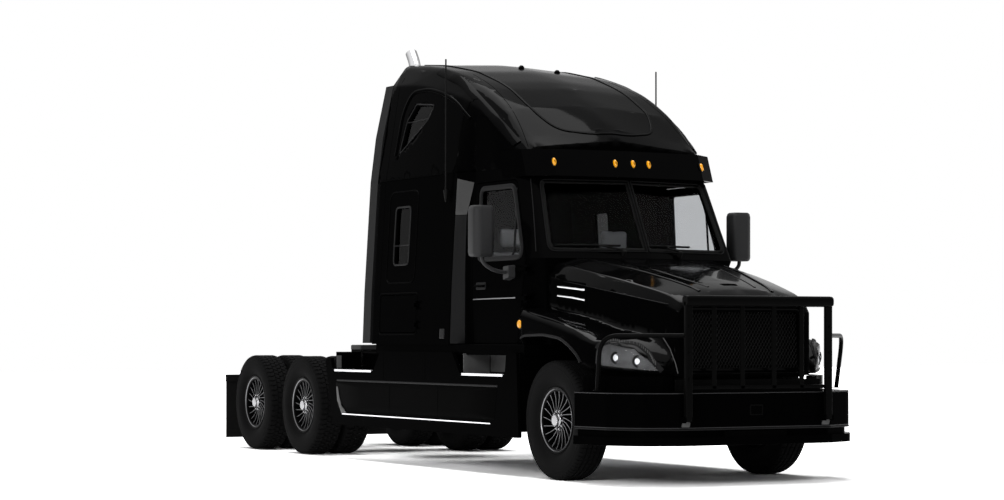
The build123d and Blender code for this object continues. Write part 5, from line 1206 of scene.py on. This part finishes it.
def make_wipers():
    shape = Shape()
    for side, tip_y in ((-1, -0.62), (1, 0.20)):
        pivot = at(-0.345, side * 0.30 + 0.05, 2.010)
        boss = [(0, -0.03), (0.022, -0.03), (0.022, 0.02), (0.012, 0.03), (0, 0.03)]
        turned_about(shape, boss, pivot, Vector((0.5, 0, 1)), 14)
        arm = [pivot + UP * 0.024, at(-0.350, side * 0.30 - 0.10, 2.062), at(-0.395, tip_y + 0.08, 2.085)]
        tube(shape, eased_path(arm, 0.08, 4), 0.008, 8)
    screen = surface_of("cab_glass", "cab_shell")
    for centre, half in ((-0.55, 0.30), (0.25, 0.27)):
        blade = [(centre + half * t, 2.075) for t in (-1, -0.5, 0, 0.5, 1)]
        places, outs = laid(screen, blade, FROM_AHEAD)
        strip(shape, [p + o * 0.010 for p, o in zip(places, outs)], outs, 0.014, 0.012, 0.008, closed=False)
    piece("wiper_arms_and_blades", shape, "rubber_black", "chassis")


# Cab, doors and sleeper

def make_windscreen_trim():
    front = surface_of("cab_shell", "cab_glass")
    seal, line = shapes(2)
    for side in (-1, 1):
        loop = [(side * 0.020, 2.040), (side * 0.930, 2.040), (side * 0.852, 2.668), (side * 0.020, 2.668)]
        loop = rounded(loop, [0.012, 0.06, 0.06, 0.012], 5)
        strip_on(seal, front, loop, FROM_AHEAD, 0.034, 0.008, step=0.05)
        edge = [(side * 0.012, 2.022), (side * 0.952, 2.022), (side * 0.870, 2.684), (side * 0.012, 2.684)]
        edge = rounded(edge, [0.012, 0.07, 0.07, 0.012], 5)
        strip_on(line, front, edge, FROM_AHEAD, 0.008, 0.010, step=0.05)
        # Grey line down the A-pillar's rounded corner: painted highlight.
        pillar_highlight = [(side * 1.030, 2.020), (side * 0.985, 2.350), (side * 0.940, 2.690)]
        line_on(line, front, pillar_highlight, FROM_AHEAD, 0.010, 0.004, step=0.05)
    piece("windscreen_seal", seal, "rubber_black", "chassis", 60)
    piece("windscreen_edge_line", line, "grey_plastic", "chassis", 60)


def make_sleeper_trim():
    shell = surface_of("cab_shell", "baggage_door_right", "baggage_door_left", "cab_glass")
    chrome, groove, black, grey = shapes(4)
    roof = surface_of("roof_fairing", "cab_glass", "cab_shell")
    for side in (-1, 1):
        view = from_side(side)
        inner = rounded([(-3.192, 1.960), (-3.192, 2.527), (-2.862, 2.527), (-2.862, 1.960)], 0.05, 4)
        strip_on(chrome, shell, inner, view, 0.018, 0.007, step=0.06)
        line_on(chrome, shell, [(-3.180, 2.150), (-3.0, 2.150), (-2.872, 2.150)], view, 0.014, 0.006)
        outer = rounded([(-3.340, 1.780), (-3.340, 2.680), (-2.710, 2.680), (-2.710, 1.780)], 0.10, 6)
        strip_on(black, shell, outer, view, 0.014, 0.004, step=0.06)
        hatch = rounded([(-3.455, 1.275), (-3.455, 1.680), (-2.625, 1.680), (-2.625, 1.275)], 0.045, 5)
        strip_on(black, shell, hatch, view, 0.012, 0.003, step=0.06)
        line_on(groove, shell, [(-3.470, 1.20), (-3.470, 1.9), (-3.470, 2.790)], view, 0.006, 0.001)
        upper_seam = [(-3.470, 2.81), (-3.475, 3.2), (-3.480, 3.6), (-3.485, 3.85)]
        line_on(groove, roof, upper_seam, view, 0.006, 0.001)
        line_on(groove, roof, [(-3.655, 2.800), (-2.9, 2.800), (-1.95, 2.800)], view, 0.007, 0.001)
        leaf = rounded([(-3.252, 3.060), (-3.168, 3.386), (-2.996, 3.543), (-2.580, 3.502), (-2.680, 3.370)],
                       [0.02, 0.12, 0.06, 0.03, 0.2], 5)
        strip_on(chrome, roof, leaf, view, 0.011, 0.005, step=0.05)
        line_on(chrome, roof, [(-3.150, 3.372), (-2.92, 3.377), (-2.700, 3.380)], view, 0.012, 0.005)
        arch = eased_flat([(-3.330, 3.05), (-3.300, 3.480), (-3.140, 3.672), (-2.760, 3.668), (-2.430, 3.600),
                           (-2.120, 3.492), (-1.835, 3.310)], 0.12)
        line_on(black, roof, arch, view, 0.040, 0.012, step=0.05)
        cover = rounded([(-2.02, 1.235), (-2.02, 1.33), (-2.12, 1.33), (-2.12, 1.235)], 0.01, 2)
        plate_on(grey, shell, cover, view, [(0.0, 0.003), (0.003, 0.005)])
        flare = [(-1.918, 1.190), (-1.918, 2.398), (-1.800, 2.398), (-1.832, 1.190)]
        plate_on(grey, shell, flare, view, [(0.0, 0.002), (0.002, 0.0035)], step=0.08)
    piece("sleeper_window_frames", chrome, "grey_plastic", "chassis", 60)
    piece("sleeper_panel_seams", groove, "seam_and_shade_black", "chassis", 60)
    piece("sleeper_raised_edges", black, "black_paint", "chassis", 60)
    piece("side_flare_lower_strips", grey, "grey_plastic", "chassis", 60)


def make_flare_top():
    """Paler upper part of the strip between the door and the sleeper."""
    shell = surface_of("cab_shell")
    shape = Shape()
    for side in (-1, 1):
        flare = [(-1.918, 2.402), (-1.918, 2.745), (-1.722, 2.700), (-1.800, 2.402)]
        plate_on(shape, shell, flare, from_side(side), [(0.0, 0.002), (0.002, 0.0035)], step=0.08)
    piece("side_flare_upper_strips", shape, "flare_grey", "chassis", 60)


def make_door_trim():
    for name, side in SIDES:
        view = from_side(side)
        skin = surface_of(f"door_{name}", f"door_glass_{name}")
        seal, black, chrome = shapes(3)
        loop = [(-1.582, 1.972), (-1.582, 2.632), (-0.978, 2.632), (-0.728, 1.972)]
        loop = rounded(loop, [0.06, 0.06, 0.09, 0.09], 5)
        strip_on(seal, skin, loop, view, 0.046, 0.012, step=0.05)
        line_on(seal, skin, [(-0.945, 1.985), (-0.945, 2.3), (-0.945, 2.610)], view, 0.022, 0.009)
        # Bright strip along the belt ledge: painted highlight of the ledge.
        belt = [(-1.680, 1.603), (-1.3, 1.606), (-0.860, 1.608)]
        line_on(chrome, skin, belt, view, 0.012, 0.006)
        handle = rounded([(-1.620, 1.690), (-1.620, 1.760), (-1.430, 1.760), (-1.430, 1.690)], 0.02, 4)
        plate_on(seal, skin, handle, view, [(0.0, 0.003), (0.004, 0.006)])
        places, outs = laid(skin, [(-1.600, 1.725), (-1.450, 1.725)], view)
        if len(places) == 2:
            a, b = places
            out = outs[0]
            tube(black, eased_path([a, a + out * 0.040, b + out * 0.040, b], 0.03, 4), 0.011, 10)
        piece(f"door_window_seal_{name}", seal, "grey_plastic", f"door_{name}", 60)
        piece(f"door_handle_{name}", black, "black_paint", f"door_{name}", 60)
        piece(f"door_belt_strip_{name}", chrome, "spoke_alloy", f"door_{name}", 60)


MIRROR_X, MIRROR_Y = -0.930, 1.396
MIRROR_LEVELS = ((1.975, 0.80), (1.985, 0.93), (2.010, 1.0), (2.40, 1.0), (2.428, 0.93), (2.440, 0.80))


def make_mirrors():
    for name, side in SIDES:
        head, plate = shapes(2)
        rows = []
        for z, squeeze in MIRROR_LEVELS:
            half_x, half_y = 0.075 * squeeze, 0.104 * squeeze
            loop = [(-half_x, -half_y), (half_x * 0.75, -half_y), (half_x, half_y * 0.5),
                    (half_x * 0.6, half_y), (-half_x, half_y)]
            loop = rounded(loop, [0.012, 0.05, 0.05, 0.05, 0.012], 4)
            rows.append([at(MIRROR_X + p.x, side * (MIRROR_Y + p.y), z) for p in loop])
        loft(head, rows)
        arm = [at(MIRROR_X, side * 1.130, 1.835), at(-0.925, side * 1.27, 1.850),
               at(-0.925, side * 1.385, 1.915), at(MIRROR_X, side * MIRROR_Y, 1.985)]
        tube(head, eased_path(arm, 0.07, 6), 0.018, 12)
        foot = rounded([(-0.990, 1.760), (-0.870, 1.790), (-0.870, 1.908), (-0.990, 1.900)], 0.02, 3)
        prism(head, lengthwise(foot, side * 1.078), lengthwise(shrunk(foot, 0.008), side * 1.150))
        made = piece(f"mirror_housing_{name}", head, "housing_grey", f"door_{name}", 40, 0.003)
        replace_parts(made, f"mirror_{name}")
        glass = oblong((1.310, 2.120), (1.482, 2.415), 0.018, 4)
        prism(plate, standing(glass, -1.003, side), standing(glass, -1.0075, side))
        spot = oblong((1.310, 1.998), (1.482, 2.105), 0.018, 4)
        prism(plate, standing(spot, -1.003, side), standing(spot, -1.0075, side))
        piece(f"mirror_glasses_{name}", plate, "mirror_plate", f"door_{name}", 40)


def make_visor_lamps():
    amber, base, slit = shapes(3)
    visor = surface_of("sun_visor")
    for y in (-0.790, -0.179, 0.0, 0.179, 0.790):
        places, outs = laid(visor, [(y, 2.836)], FROM_AHEAD)
        if not places:
            continue
        place, out = places[0], outs[0]
        side = UP.cross(out).normalized()
        up = out.cross(side).normalized()
        for shape, wide, high, lows in (
            (base, 0.026, 0.045, ((1.0, -0.004), (1.0, 0.004), (0.9, 0.007), (0.0, 0.007))),
            (amber, 0.019, 0.038, ((1.0, 0.004), (0.95, 0.016), (0.75, 0.024), (0.4, 0.027), (0.0, 0.028))),
            (slit, 0.0045, 0.016, ((1.0, 0.020), (1.0, 0.0285), (0.6, 0.0292), (0.0, 0.0292))),
        ):
            rows = []
            for share, lift in lows:
                share = max(share, 0.01)
                across, along = side * wide * share, up * high * share
                rows.append([place + out * lift + across * c + along * s for c, s in circle(24)])
            loft(shape, rows)
    for side in (-1, 1):
        fender, out = at(-0.680, side * 1.1255, 1.368), Vector((0, side, 0))
        rim = [(0, -0.01), (0.047, -0.01), (0.047, 0.014), (0.040, 0.018), (0, 0.018)]
        turned_about(base, rim, fender, out, 32)
        lens = [(0, 0.010), (0.038, 0.010), (0.036, 0.024), (0.026, 0.032), (0, 0.0345)]
        turned_about(amber, lens, fender, out, 32)
    made = piece("marker_lamp_lenses", amber, "amber_lens", "chassis", 60)
    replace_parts(made, "marker_lamps")
    piece("marker_lamp_bases", base, "dark_plastic", "chassis")
    piece("marker_lamp_slits", slit, "seam_and_shade_black", "chassis")


def make_roof_trim():
    roof = surface_of("roof_fairing")
    black, groove = shapes(2)
    half = [(-3.45, 0.700), (-2.50, 0.650), (-1.95, 0.640), (-1.35, 0.640), (-1.085, 0.520), (-0.985, 0.20)]
    edge = eased_flat(half + [(x, -y) for x, y in reversed(half)], 0.12)
    line_on(black, roof, edge, FROM_ABOVE, 0.026, 0.008, step=0.06)
    for side in (-1, 1):
        line = [(-2.30, side * 0.760), (-1.75, side * 0.800), (-1.20, side * 0.855), (-0.95, side * 0.905)]
        line = eased_flat(line, 0.15)
        line_on(groove, roof, line, FROM_ABOVE, 0.006, 0.0008, step=0.06)
        rib = [(-2.75, 3.850), (-2.20, 3.700), (-1.82, 3.510), (-1.40, 3.270), (-1.05, 3.020)]
        rib = eased_flat(rib, 0.2)
        line_on(black, roof, rib, from_side(side), 0.090, 0.013, step=0.06)
        places, outs = laid(roof, [(-2.66 + side * 0.06, 0.17 + side * 0.17)], FROM_ABOVE)
        knob = [(0, -0.01), (0.030, -0.01), (0.030, 0.012), (0.014, 0.030), (0, 0.032)]
        turned_about(black, knob, places[0], outs[0], 16)
    piece("roof_raised_edges", black, "black_paint", "chassis", 60)
    piece("roof_seams", groove, "seam_and_shade_black", "chassis", 60)


def make_soft_skins():
    """Roof and hood skins with eased curves, shown in place of their CAD solids."""
    rows = (("roof_fairing", "chassis", 14, "black_paint"), ("hood", "hood", 10, "hood_paint_stronger_sheen"))
    for node, body, rounds, finish in rows:
        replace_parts(dressed(f"{node}_skin", softened(node, rounds), finish, body, 38), node)


# Sides, rear and exhaust

TOOTH_PITCH = 0.024
REAR_STEP = (-4.540, -3.600, 0.915)
FRONT_STEP = (-1.690, -0.830, 0.912)


def make_side_trim():
    skirt = surface_of("side_fairings")
    bright, grey, groove, dark, riser, sill = shapes(6)
    for side in (-1, 1):
        view = from_side(side)
        crate(sill, (-3.640, side * 1.120, 1.085), (-0.600, side * 1.160, 1.183))
        crate(sill, (-0.600, side * 0.400, 1.085), (-0.566, side * 1.160, 1.183))
        crate(sill, (-0.602, side * 0.600, 0.400), (-0.590, side * 1.195, 1.100))
        low_step = [(-4.300, 0.462), (-3.2, 0.462), (-2.1, 0.462), (-1.080, 0.462)]
        line_on(bright, skirt, low_step, view, 0.016, 0.010, step=0.2)
        swoosh = [(-4.420, 0.740), (-4.455, 0.740), (-4.430, 0.600), (-4.330, 0.470), (-4.200, 0.470),
                  (-4.310, 0.520), (-4.375, 0.620)]
        plate_on(riser, skirt, swoosh, view, [(0.0, 0.004), (0.002, 0.006)], step=0.03)
        panel = [(-4.420, 0.500), (-4.480, 0.790), (-0.960, 0.790), (-1.010, 0.500)]
        panel = rounded(panel, [0.10, 0.04, 0.02, 0.02], 5)
        plate_on(grey, skirt, panel, view, [(0.0, 0.001), (0.004, 0.002)], step=0.12)
        line_on(dark, skirt, [(-4.440, 0.805), (-2.5, 0.805), (-0.950, 0.805)], view, 0.018, 0.006, step=0.2)
        lower = [(-4.555, 0.352), (-4.520, 0.425), (-0.575, 0.425), (-0.570, 0.352)]
        plate_on(grey, skirt, lower, view, [(0.0, 0.002), (0.004, 0.004)], step=0.12)
        for x in (-3.340, -2.420):
            line_on(groove, skirt, [(x, 0.82), (x, 0.95), (x, 1.100)], view, 0.006, 0.0008)
        for x in (-3.20, -2.15):
            line_on(groove, skirt, [(x, 0.50), (x, 0.65), (x, 0.78)], view, 0.004, 0.003)
        for (rear, front, z), walls in ((REAR_STEP, sill), (FRONT_STEP, riser)):
            wall = oblong((rear + 0.02, z + 0.012), (front - 0.02, 1.098), 0.012, 2)
            plate_on(walls, skirt, wall, view, [(0.0, 0.002), (0.002, 0.003)], step=0.1)
            crate(walls, (rear + 0.002, side * 0.912, z + 0.001), (rear + 0.010, side * 1.190, 1.098))
            tooth = loose_crate((-0.004, 0, 0), (0.004, side * 0.290, 0.004))
            count = int((front - rear) / TOOTH_PITCH)
            start = at(rear + TOOTH_PITCH / 2, side * 0.920, z)
            row_into(bright, tooth, count, start, Vector((TOOTH_PITCH, 0, 0)))
            crate(bright, (rear + 0.030, side * 1.200, z - 0.018), (front - 0.030, side * 1.2235, z + 0.002))
        crate(riser, (-4.529, side * 1.135, 0.930), (-4.524, side * 1.188, 1.060))
    piece("side_tread_strips", bright, "chrome", "chassis", 50)
    piece("side_step_risers", riser, "riser_grey", "chassis", 50)
    piece("cab_sill_panels", sill, "black_paint", "chassis", 40, 0.004)
    piece("side_lower_panels", grey, "skirt_grey", "chassis", 50)
    piece("side_panel_seams", groove, "seam_and_shade_black", "chassis", 50)
    piece("side_panel_ledges", dark, "grey_plastic", "chassis", 50)


def make_exhaust():
    shape = Shape()
    x, y = STACK_X, STACK_Y
    end = at(x - 0.114, y, 4.166)
    path = eased_path([at(x, y, 2.40), at(x, y, 3.90), at(x - 0.030, y, 4.050), end], 0.14, 8)
    tube(shape, path, 0.0600, 32)
    tube(shape, [at(x, y, 1.065), at(x, y, 1.28)], 0.0628, 32)
    muffler = [(0, 1.24), (0.070, 1.25), (0.112, 1.29), (0.118, 1.31), (0.118, 2.39), (0.112, 2.41),
               (0.070, 2.45), (0, 2.46)]
    turned_about(shape, muffler, at(x, y, 0), UP, 48)
    for z in (1.36, 1.85, 2.34):
        band = [(0.1, z - 0.012), (0.1198, z - 0.012), (0.1198, z + 0.012), (0.1, z + 0.012)]
        turned_about(shape, band, at(x, y, 0), UP, 48)
    crate(shape, (x, y - 0.030, 2.200), (-3.662, y + 0.030, 2.240))
    crate(shape, (x - 0.10, -0.690, 0.961), (x + 0.10, -0.390, 1.060))
    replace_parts(piece("exhaust_pipe_and_muffler", shape, "stack_chrome", "chassis", 40), "exhaust_stack")
    # Unlit black disc at the pipe's end: painted shade inside the pipe.
    mouth_shade = Shape()
    turned_about(mouth_shade, [(0, 0.0), (0.058, 0.0), (0.058, 0.0012), (0, 0.0012)], end, path[-1] - path[-2], 32)
    piece("exhaust_mouth", mouth_shade, "seam_and_shade_black", "chassis")


FLAP_Y = 0.875


def make_frame_details():
    bolts = Shape()
    for side in (-1, 1):
        head = bolt_shape(0.012, 0.012, Vector((0, side, 0)))
        for z in (0.76, 0.90):
            row_into(bolts, head, 30, at(-7.45, side * 0.430, z), Vector((0.098, 0, 0)))
    piece("frame_rail_bolts", bolts, "frame_black", "chassis")
    deck, lug, cross = shapes(3)
    points = [(-0.016, 0), (0, -0.004), (0.016, 0), (0, 0.004)]
    top = 0.0025
    prism(lug, [Vector((x, y, 0)) for x, y in points], [Vector((x * 0.7, y * 0.6, top)) for x, y in points])
    prism(cross, [Vector((y, x, 0)) for x, y in points], [Vector((y * 0.6, x * 0.7, top)) for x, y in points])
    for k in range(21):
        y = -0.53 + k * 0.053
        row_into(deck, lug if k % 2 else cross, 24, at(-4.62, y, 0.982), Vector((0.027, 0, 0)))
    piece("deck_tread_pattern", deck, "tread_alloy", "chassis")


def make_coupling_details():
    plate, skirt = shapes(2)
    for x in (-5.95, -5.80, -5.50, -5.38):
        for side in (-1, 1):
            tube(plate, [at(x, side * 0.12, 1.1605), at(x + 0.02, side * 0.36, 1.1605)], 0.004, 6)
    piece("coupling_grease_grooves", plate, "seam_and_shade_black", "fifth_wheel_plate")
    rim = [(-0.495, 0.160), (-0.492, 0.228), (-0.120, 0.444), (0.138, 0.444), (0.394, 0.248), (0.394, 0.0)]
    for side in (-1, 1):
        for (x0, y0), (x1, y1) in zip(rim, rim[1:]):
            ahead = Vector((x1 - x0, side * (y1 - y0)))
            inward = Vector((-ahead.y, ahead.x)).normalized()
            if inward.dot(Vector((x0, side * y0))) > 0:
                inward = -inward
            start, end = Vector((COUPLING_X + x0, side * y0)), Vector((COUPLING_X + x1, side * y1))
            quad = [start, end, end + inward * 0.012, start + inward * 0.012]
            prism(skirt, lying(quad, 1.082), lying(quad, 1.150))
    piece("coupling_plate_skirt", skirt, "cast_black", "fifth_wheel_plate")


def make_rear_details():
    rear, flap, bags = shapes(3)
    for side in (-1, 1):
        for y in (0.500, 0.620):
            ring = [(0.0225, 0), (0.031, 0), (0.031, 0.014), (0.027, 0.020), (0.0225, 0.020), (0.0225, 0)]
            turned_about(rear, ring, at(-7.605, side * y, 0.780), BACK, 24)
    piece("tail_lamp_grommets", rear, "rubber_black", "chassis")
    for side in (-1, 1):
        middle = side * FLAP_Y
        start = at(-7.605, middle - 0.25, 0.785)
        row_into(flap, bolt_shape(0.009, 0.008, BACK), 6, start, Vector((0, 0.1, 0)))
        for k in range(5):
            y = middle + (k - 2) * 0.11
            tube(flap, [at(-7.592, y, 0.16), at(-7.592, y, 0.70)], 0.005, 6)
    piece("mud_flap_ribs", flap, "rubber_black", "chassis")
    for _, x in DRIVE_AXLES:
        for side in (-1, 1):
            for z in (0.50, 0.555, 0.61):
                path = [at(x - 0.330 + 0.139 * c, side * 0.445 + 0.139 * s, z) for c, s in circle(40)]
                tube(bags, path, 0.018, 8, closed=True)
    piece("air_spring_rings", bags, "rubber_black", "chassis")


def make_antennas():
    shape = Shape()
    mast = [(0, 2.532), (0.007, 2.532), (0.016, 2.580), (0.025, 2.636), (0.024, 2.644), (0.009, 2.648),
            (0.008, 2.70), (0.0075, 3.885), (0, 3.889)]
    for side in (-1, 1):
        turned_about(shape, mast, at(-2.076, side * 1.173, 0), UP, 16)
    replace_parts(piece("antenna_masts", shape, "rubber_black", "chassis", 40), "antennas")


# Inside the cab

def make_dashboard_trim():
    face, dials, bright = shapes(3)
    for y in (0.44, 0.56, 0.68):
        centre = at(-0.862, y, 1.80)
        ring = [(0, 0), (0.050, 0), (0.050, 0.006), (0.044, 0.008), (0.044, 0.004), (0, 0.004)]
        turned_about(bright, ring, centre, BACK, 28)
        turned_about(dials, [(0, 0.003), (0.043, 0.003), (0.043, 0.0045), (0, 0.0045)], centre, BACK, 28)
    slat = loose_crate((-0.004, -0.065, -0.003), (0.004, 0.065, 0.003))
    for y in (-0.70, -0.35, 0.02, 0.25, 0.82):
        row_into(face, slat, 6, at(-0.864, y, 1.760), Vector((0, 0, 0.016)))
    piece("dash_dial_rings", bright, "chrome", "chassis")
    piece("dash_dials", dials, "screen_dark", "chassis")
    piece("dash_vent_slats", face, "dark_plastic", "chassis")


def lean_point(x, y, z):
    """Point on the leaning steering column, from its wheel's middle."""
    turn = radians(38)
    place = Vector((x * cos(turn) - z * sin(turn), y, x * sin(turn) + z * cos(turn)))
    return at(-1.010, 0.560, 1.930) + place


def make_steering_wheel():
    shape = Shape()
    path = [lean_point(0.225 * c, 0.225 * s, 0.0) for c, s in circle(48)]
    tube(shape, path, 0.0155, 12, closed=True)
    for turn in (90, 210, 330):
        a = radians(turn)
        start = lean_point(0.04 * cos(a), 0.04 * sin(a), -0.012)
        middle = lean_point(0.13 * cos(a), 0.13 * sin(a), -0.006)
        end = lean_point(0.222 * cos(a), 0.222 * sin(a), 0.0)
        tube(shape, [start, middle, end], [0.020, 0.015, 0.013], 10, flat=0.5)
    middle = lean_point(0, 0, 0)
    axis = lean_point(0, 0, 1) - middle
    hub = [(0, -0.045), (0.045, -0.045), (0.072, -0.020), (0.078, -0.004), (0.066, 0.010), (0, 0.014)]
    turned_about(shape, hub, middle, axis, 28)
    column = [(0, -0.26), (0.026, -0.26), (0.026, -0.05), (0.034, -0.045), (0, -0.04)]
    turned_about(shape, column, middle, axis, 20)
    made = piece("steering_wheel_rim_and_hub", shape, "dark_plastic", "steering_wheel", 40)
    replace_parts(made, "steering_wheel")


def baked(obj):
    """Works out an object's modifiers into its mesh."""
    mesh = plain_mesh(obj)
    obj.modifiers.clear()
    obj.data = mesh


def blow_up(obj, frames=20):
    """Lets the cloth of a pad swell under pressure."""
    cloth = obj.modifiers.new("blown up", "CLOTH")
    cloth.settings.use_pressure = True
    cloth.settings.uniform_pressure_force = 4.0
    cloth.settings.effector_weights.gravity = 0.0
    cloth.settings.quality = 4
    cloth.point_cache.frame_start = 1
    cloth.point_cache.frame_end = frames
    for number in range(1, frames + 1):
        bpy.context.scene.frame_set(number)
    baked(obj)
    bpy.context.scene.frame_set(1)


def stuffed(name, low, high, channels, cell=0.009, cap=0.014, soften=0.03):
    """Upholstered pad: a block blown up as cloth, then drawn in along its lengthwise sewn channels."""
    shape = Shape()
    shrink = cap * 0.75
    low, high = [min(a, b) for a, b in zip(low, high)], [max(a, b) for a, b in zip(low, high)]
    crate(shape, [v + shrink for v in low], [v - shrink for v in high])
    obj = placed(name, mesh_of(name, shape, ease=soften))
    remesh = obj.modifiers.new("even cells", "REMESH")
    remesh.mode = "VOXEL"
    remesh.voxel_size = cell
    baked(obj)
    rest = [v.co.copy() for v in obj.data.vertices]
    blow_up(obj)
    middle = (Vector(low) + Vector(high)) / 2
    wide = high[1] - low[1]
    reach, deep = 0.022, 0.010
    for vertex, start in zip(obj.data.vertices, rest):
        move = vertex.co - start
        if move.length > cap:
            vertex.co = start + move.normalized() * cap
        local = vertex.co - Vector((SHIFT, 0, 0)) - middle
        for channel in channels:
            gap = abs(local.y / wide - channel) * wide
            if gap < reach:
                vertex.co -= Vector((local.x, 0, local.z)).normalized() * deep * (1 - gap / reach) ** 2
    smooth = obj.modifiers.new("finer", "SUBSURF")
    smooth.levels = 1
    smooth.render_levels = 1
    baked(obj)
    obj.data.materials.clear()
    obj.data.materials.append(FINISHES["seat_cloth"])
    obj.data.polygons.foreach_set("use_smooth", [True] * len(obj.data.polygons))
    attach(obj, "chassis")
    return obj


def make_seats():
    stand = Shape()
    for name, side in SIDES:
        y = side * 0.560
        crate(stand, (-1.70, y - 0.14, 1.242), (-1.42, y + 0.14, 1.300))
        fold_high = 0.026
        for k in range(5):
            z = 1.300 + k * fold_high
            inset = 0.006 if k % 2 else 0.0
            loop = shrunk(oblong((-1.690 + 0.004 * (k % 2), y - 0.13), (-1.43, y + 0.13), 0.03, 3), inset)
            prism(stand, lying(loop, z), lying(loop, z + fold_high))
        crate(stand, (-1.795, y - 0.22, 1.425), (-1.325, y + 0.22, 1.455))
        for shift in (-0.07, 0.07):
            tube(stand, [at(-1.878, y + shift, 2.060), at(-1.878, y + shift, 2.12)], 0.006, 8)
        cushion = stuffed(f"seat_cushion_{name}", (-1.800, y - 0.252, 1.448), (-1.313, y + 0.252, 1.560),
                          (-0.28, 0.28))
        stuffed(f"seat_back_{name}", (-1.935, y - 0.250, 1.500), (-1.815, y + 0.250, 2.080), (-0.28, 0.28))
        stuffed(f"seat_headrest_{name}", (-1.925, y - 0.150, 2.095), (-1.825, y + 0.150, 2.292), ())
        if name == "right":
            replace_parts(cushion, "seats")
    piece("seat_stands", stand, "dark_plastic", "chassis", 40, 0.003)


def make_bunk():
    mattress = stuffed("bunk_mattress", (-3.575, -1.050, 1.612), (-2.565, 1.050, 1.758), (-0.3, 0.0, 0.3),
                       cell=0.018, cap=0.016, soften=0.035)
    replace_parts(mattress, "bunk")
    base = Shape()
    crate(base, (-3.578, -1.055, 1.570), (-2.562, 1.055, 1.608))
    crate(base, (-2.590, -1.055, 1.242), (-2.562, 1.055, 1.570))
    piece("bunk_base", base, "trim_grey", "chassis", 40, 0.004)


# Studio

PICTURE_WIDE, PICTURE_HIGH = 1004, 500
FOCAL_PIXELS = 2444.1
HORIZON_ROW = 336.29
FILM_WIDE = 36.0


def add_camera():
    """Camera solved from the photograph: level, with its horizon below the picture's middle."""
    data = bpy.data.cameras.new("photo camera")
    data.sensor_fit = "HORIZONTAL"
    data.sensor_width = FILM_WIDE
    data.lens = FOCAL_PIXELS / PICTURE_WIDE * FILM_WIDE
    data.shift_y = (HORIZON_ROW - PICTURE_HIGH / 2) / PICTURE_WIDE
    data.clip_end = 200
    camera = placed("photo camera", data)
    camera.location = at(18.561, -11.746, 1.258)
    camera.rotation_euler = (pi / 2, 0, radians(61.557))
    bpy.context.scene.camera = camera


def add_light(name, place, aim, width, height, power):
    data = bpy.data.lights.new(name, "AREA")
    data.shape = "RECTANGLE"
    data.size = width
    data.size_y = height
    data.energy = power
    lamp = placed(name, data)
    lamp.location = place
    lamp.rotation_euler = (Vector(aim) - Vector(place)).to_track_quat("-Z", "Y").to_euler()


def seen_directly(tree):
    """One where a ray comes from the camera, through glass or off a shiny surface."""
    path = add_node(tree, "ShaderNodeLightPath")
    seen = path.outputs["Is Camera Ray"]
    for ray in ("Is Transmission Ray", "Is Glossy Ray"):
        most = add_node(tree, "ShaderNodeMath", {0: seen, 1: path.outputs[ray]}, operation="MAXIMUM")
        seen = most.outputs[0]
    return seen


def add_world():
    world = bpy.data.worlds.new("studio")
    bpy.context.scene.world = world
    bpy.context.scene.view_settings.view_transform = "Standard"
    world.use_nodes = True
    tree = world.node_tree
    colour = add_node(tree, "ShaderNodeMix", {
        0: seen_directly(tree), 6: (0.16, 0.16, 0.16, 1), 7: (1, 1, 1, 1),
    }, data_type="RGBA")
    tree.links.new(colour.outputs[2], tree.nodes["Background"].inputs["Color"])


def add_floor():
    """White floor that keeps the shadow and grows paler away from the truck."""
    mesh = bpy.data.meshes.new("studio floor")
    reach = 60
    corners = [(-reach, -reach, 0), (reach, -reach, 0), (reach, reach, 0), (-reach, reach, 0)]
    mesh.from_pydata(corners, [], [(0, 1, 2, 3)])
    floor = placed("studio_floor", mesh)
    material = bpy.data.materials.new("white floor")
    material.use_nodes = True
    tree = material.node_tree
    tree.nodes.remove(tree.nodes["Principled BSDF"])
    place = add_node(tree, "ShaderNodeTexCoord")
    away = add_node(tree, "ShaderNodeVectorMath", {0: place.outputs["Object"]}, operation="LENGTH")
    paler = add_node(tree, "ShaderNodeMapRange", {
        "Value": away.outputs["Value"], "From Min": 8, "From Max": 30, "To Min": 2.6, "To Max": 14.0,
    })
    colour = add_node(tree, "ShaderNodeMix", {
        0: seen_directly(tree), 6: (0.9, 0.9, 0.9, 1), 7: paler.outputs["Result"],
    }, data_type="RGBA")
    shader = add_node(tree, "ShaderNodeBsdfDiffuse", {"Color": colour.outputs[2]})
    tree.links.new(shader.outputs[0], tree.nodes["Material Output"].inputs["Surface"])
    mesh.materials.append(material)


add_camera()
add_world()
add_floor()
add_light("top softbox", (0, 0, 12), (0, 0, 0), 14, 8, 1400)
add_light("camera side softbox", (12, -14, 7), (0, 0, 1.5), 8, 5, 900)

make_soft_skins()
make_tyres()
make_wheels()
make_grille()
make_nose_panels()
make_guard()
make_bumper()
make_hood_trim()
make_headlamps()
make_wipers()
make_windscreen_trim()
make_sleeper_trim()
make_flare_top()
make_door_trim()
make_mirrors()
make_visor_lamps()
make_roof_trim()
make_side_trim()
make_exhaust()
make_frame_details()
make_coupling_details()
make_rear_details()
make_antennas()
make_dashboard_trim()
make_steering_wheel()
make_seats()
make_bunk()
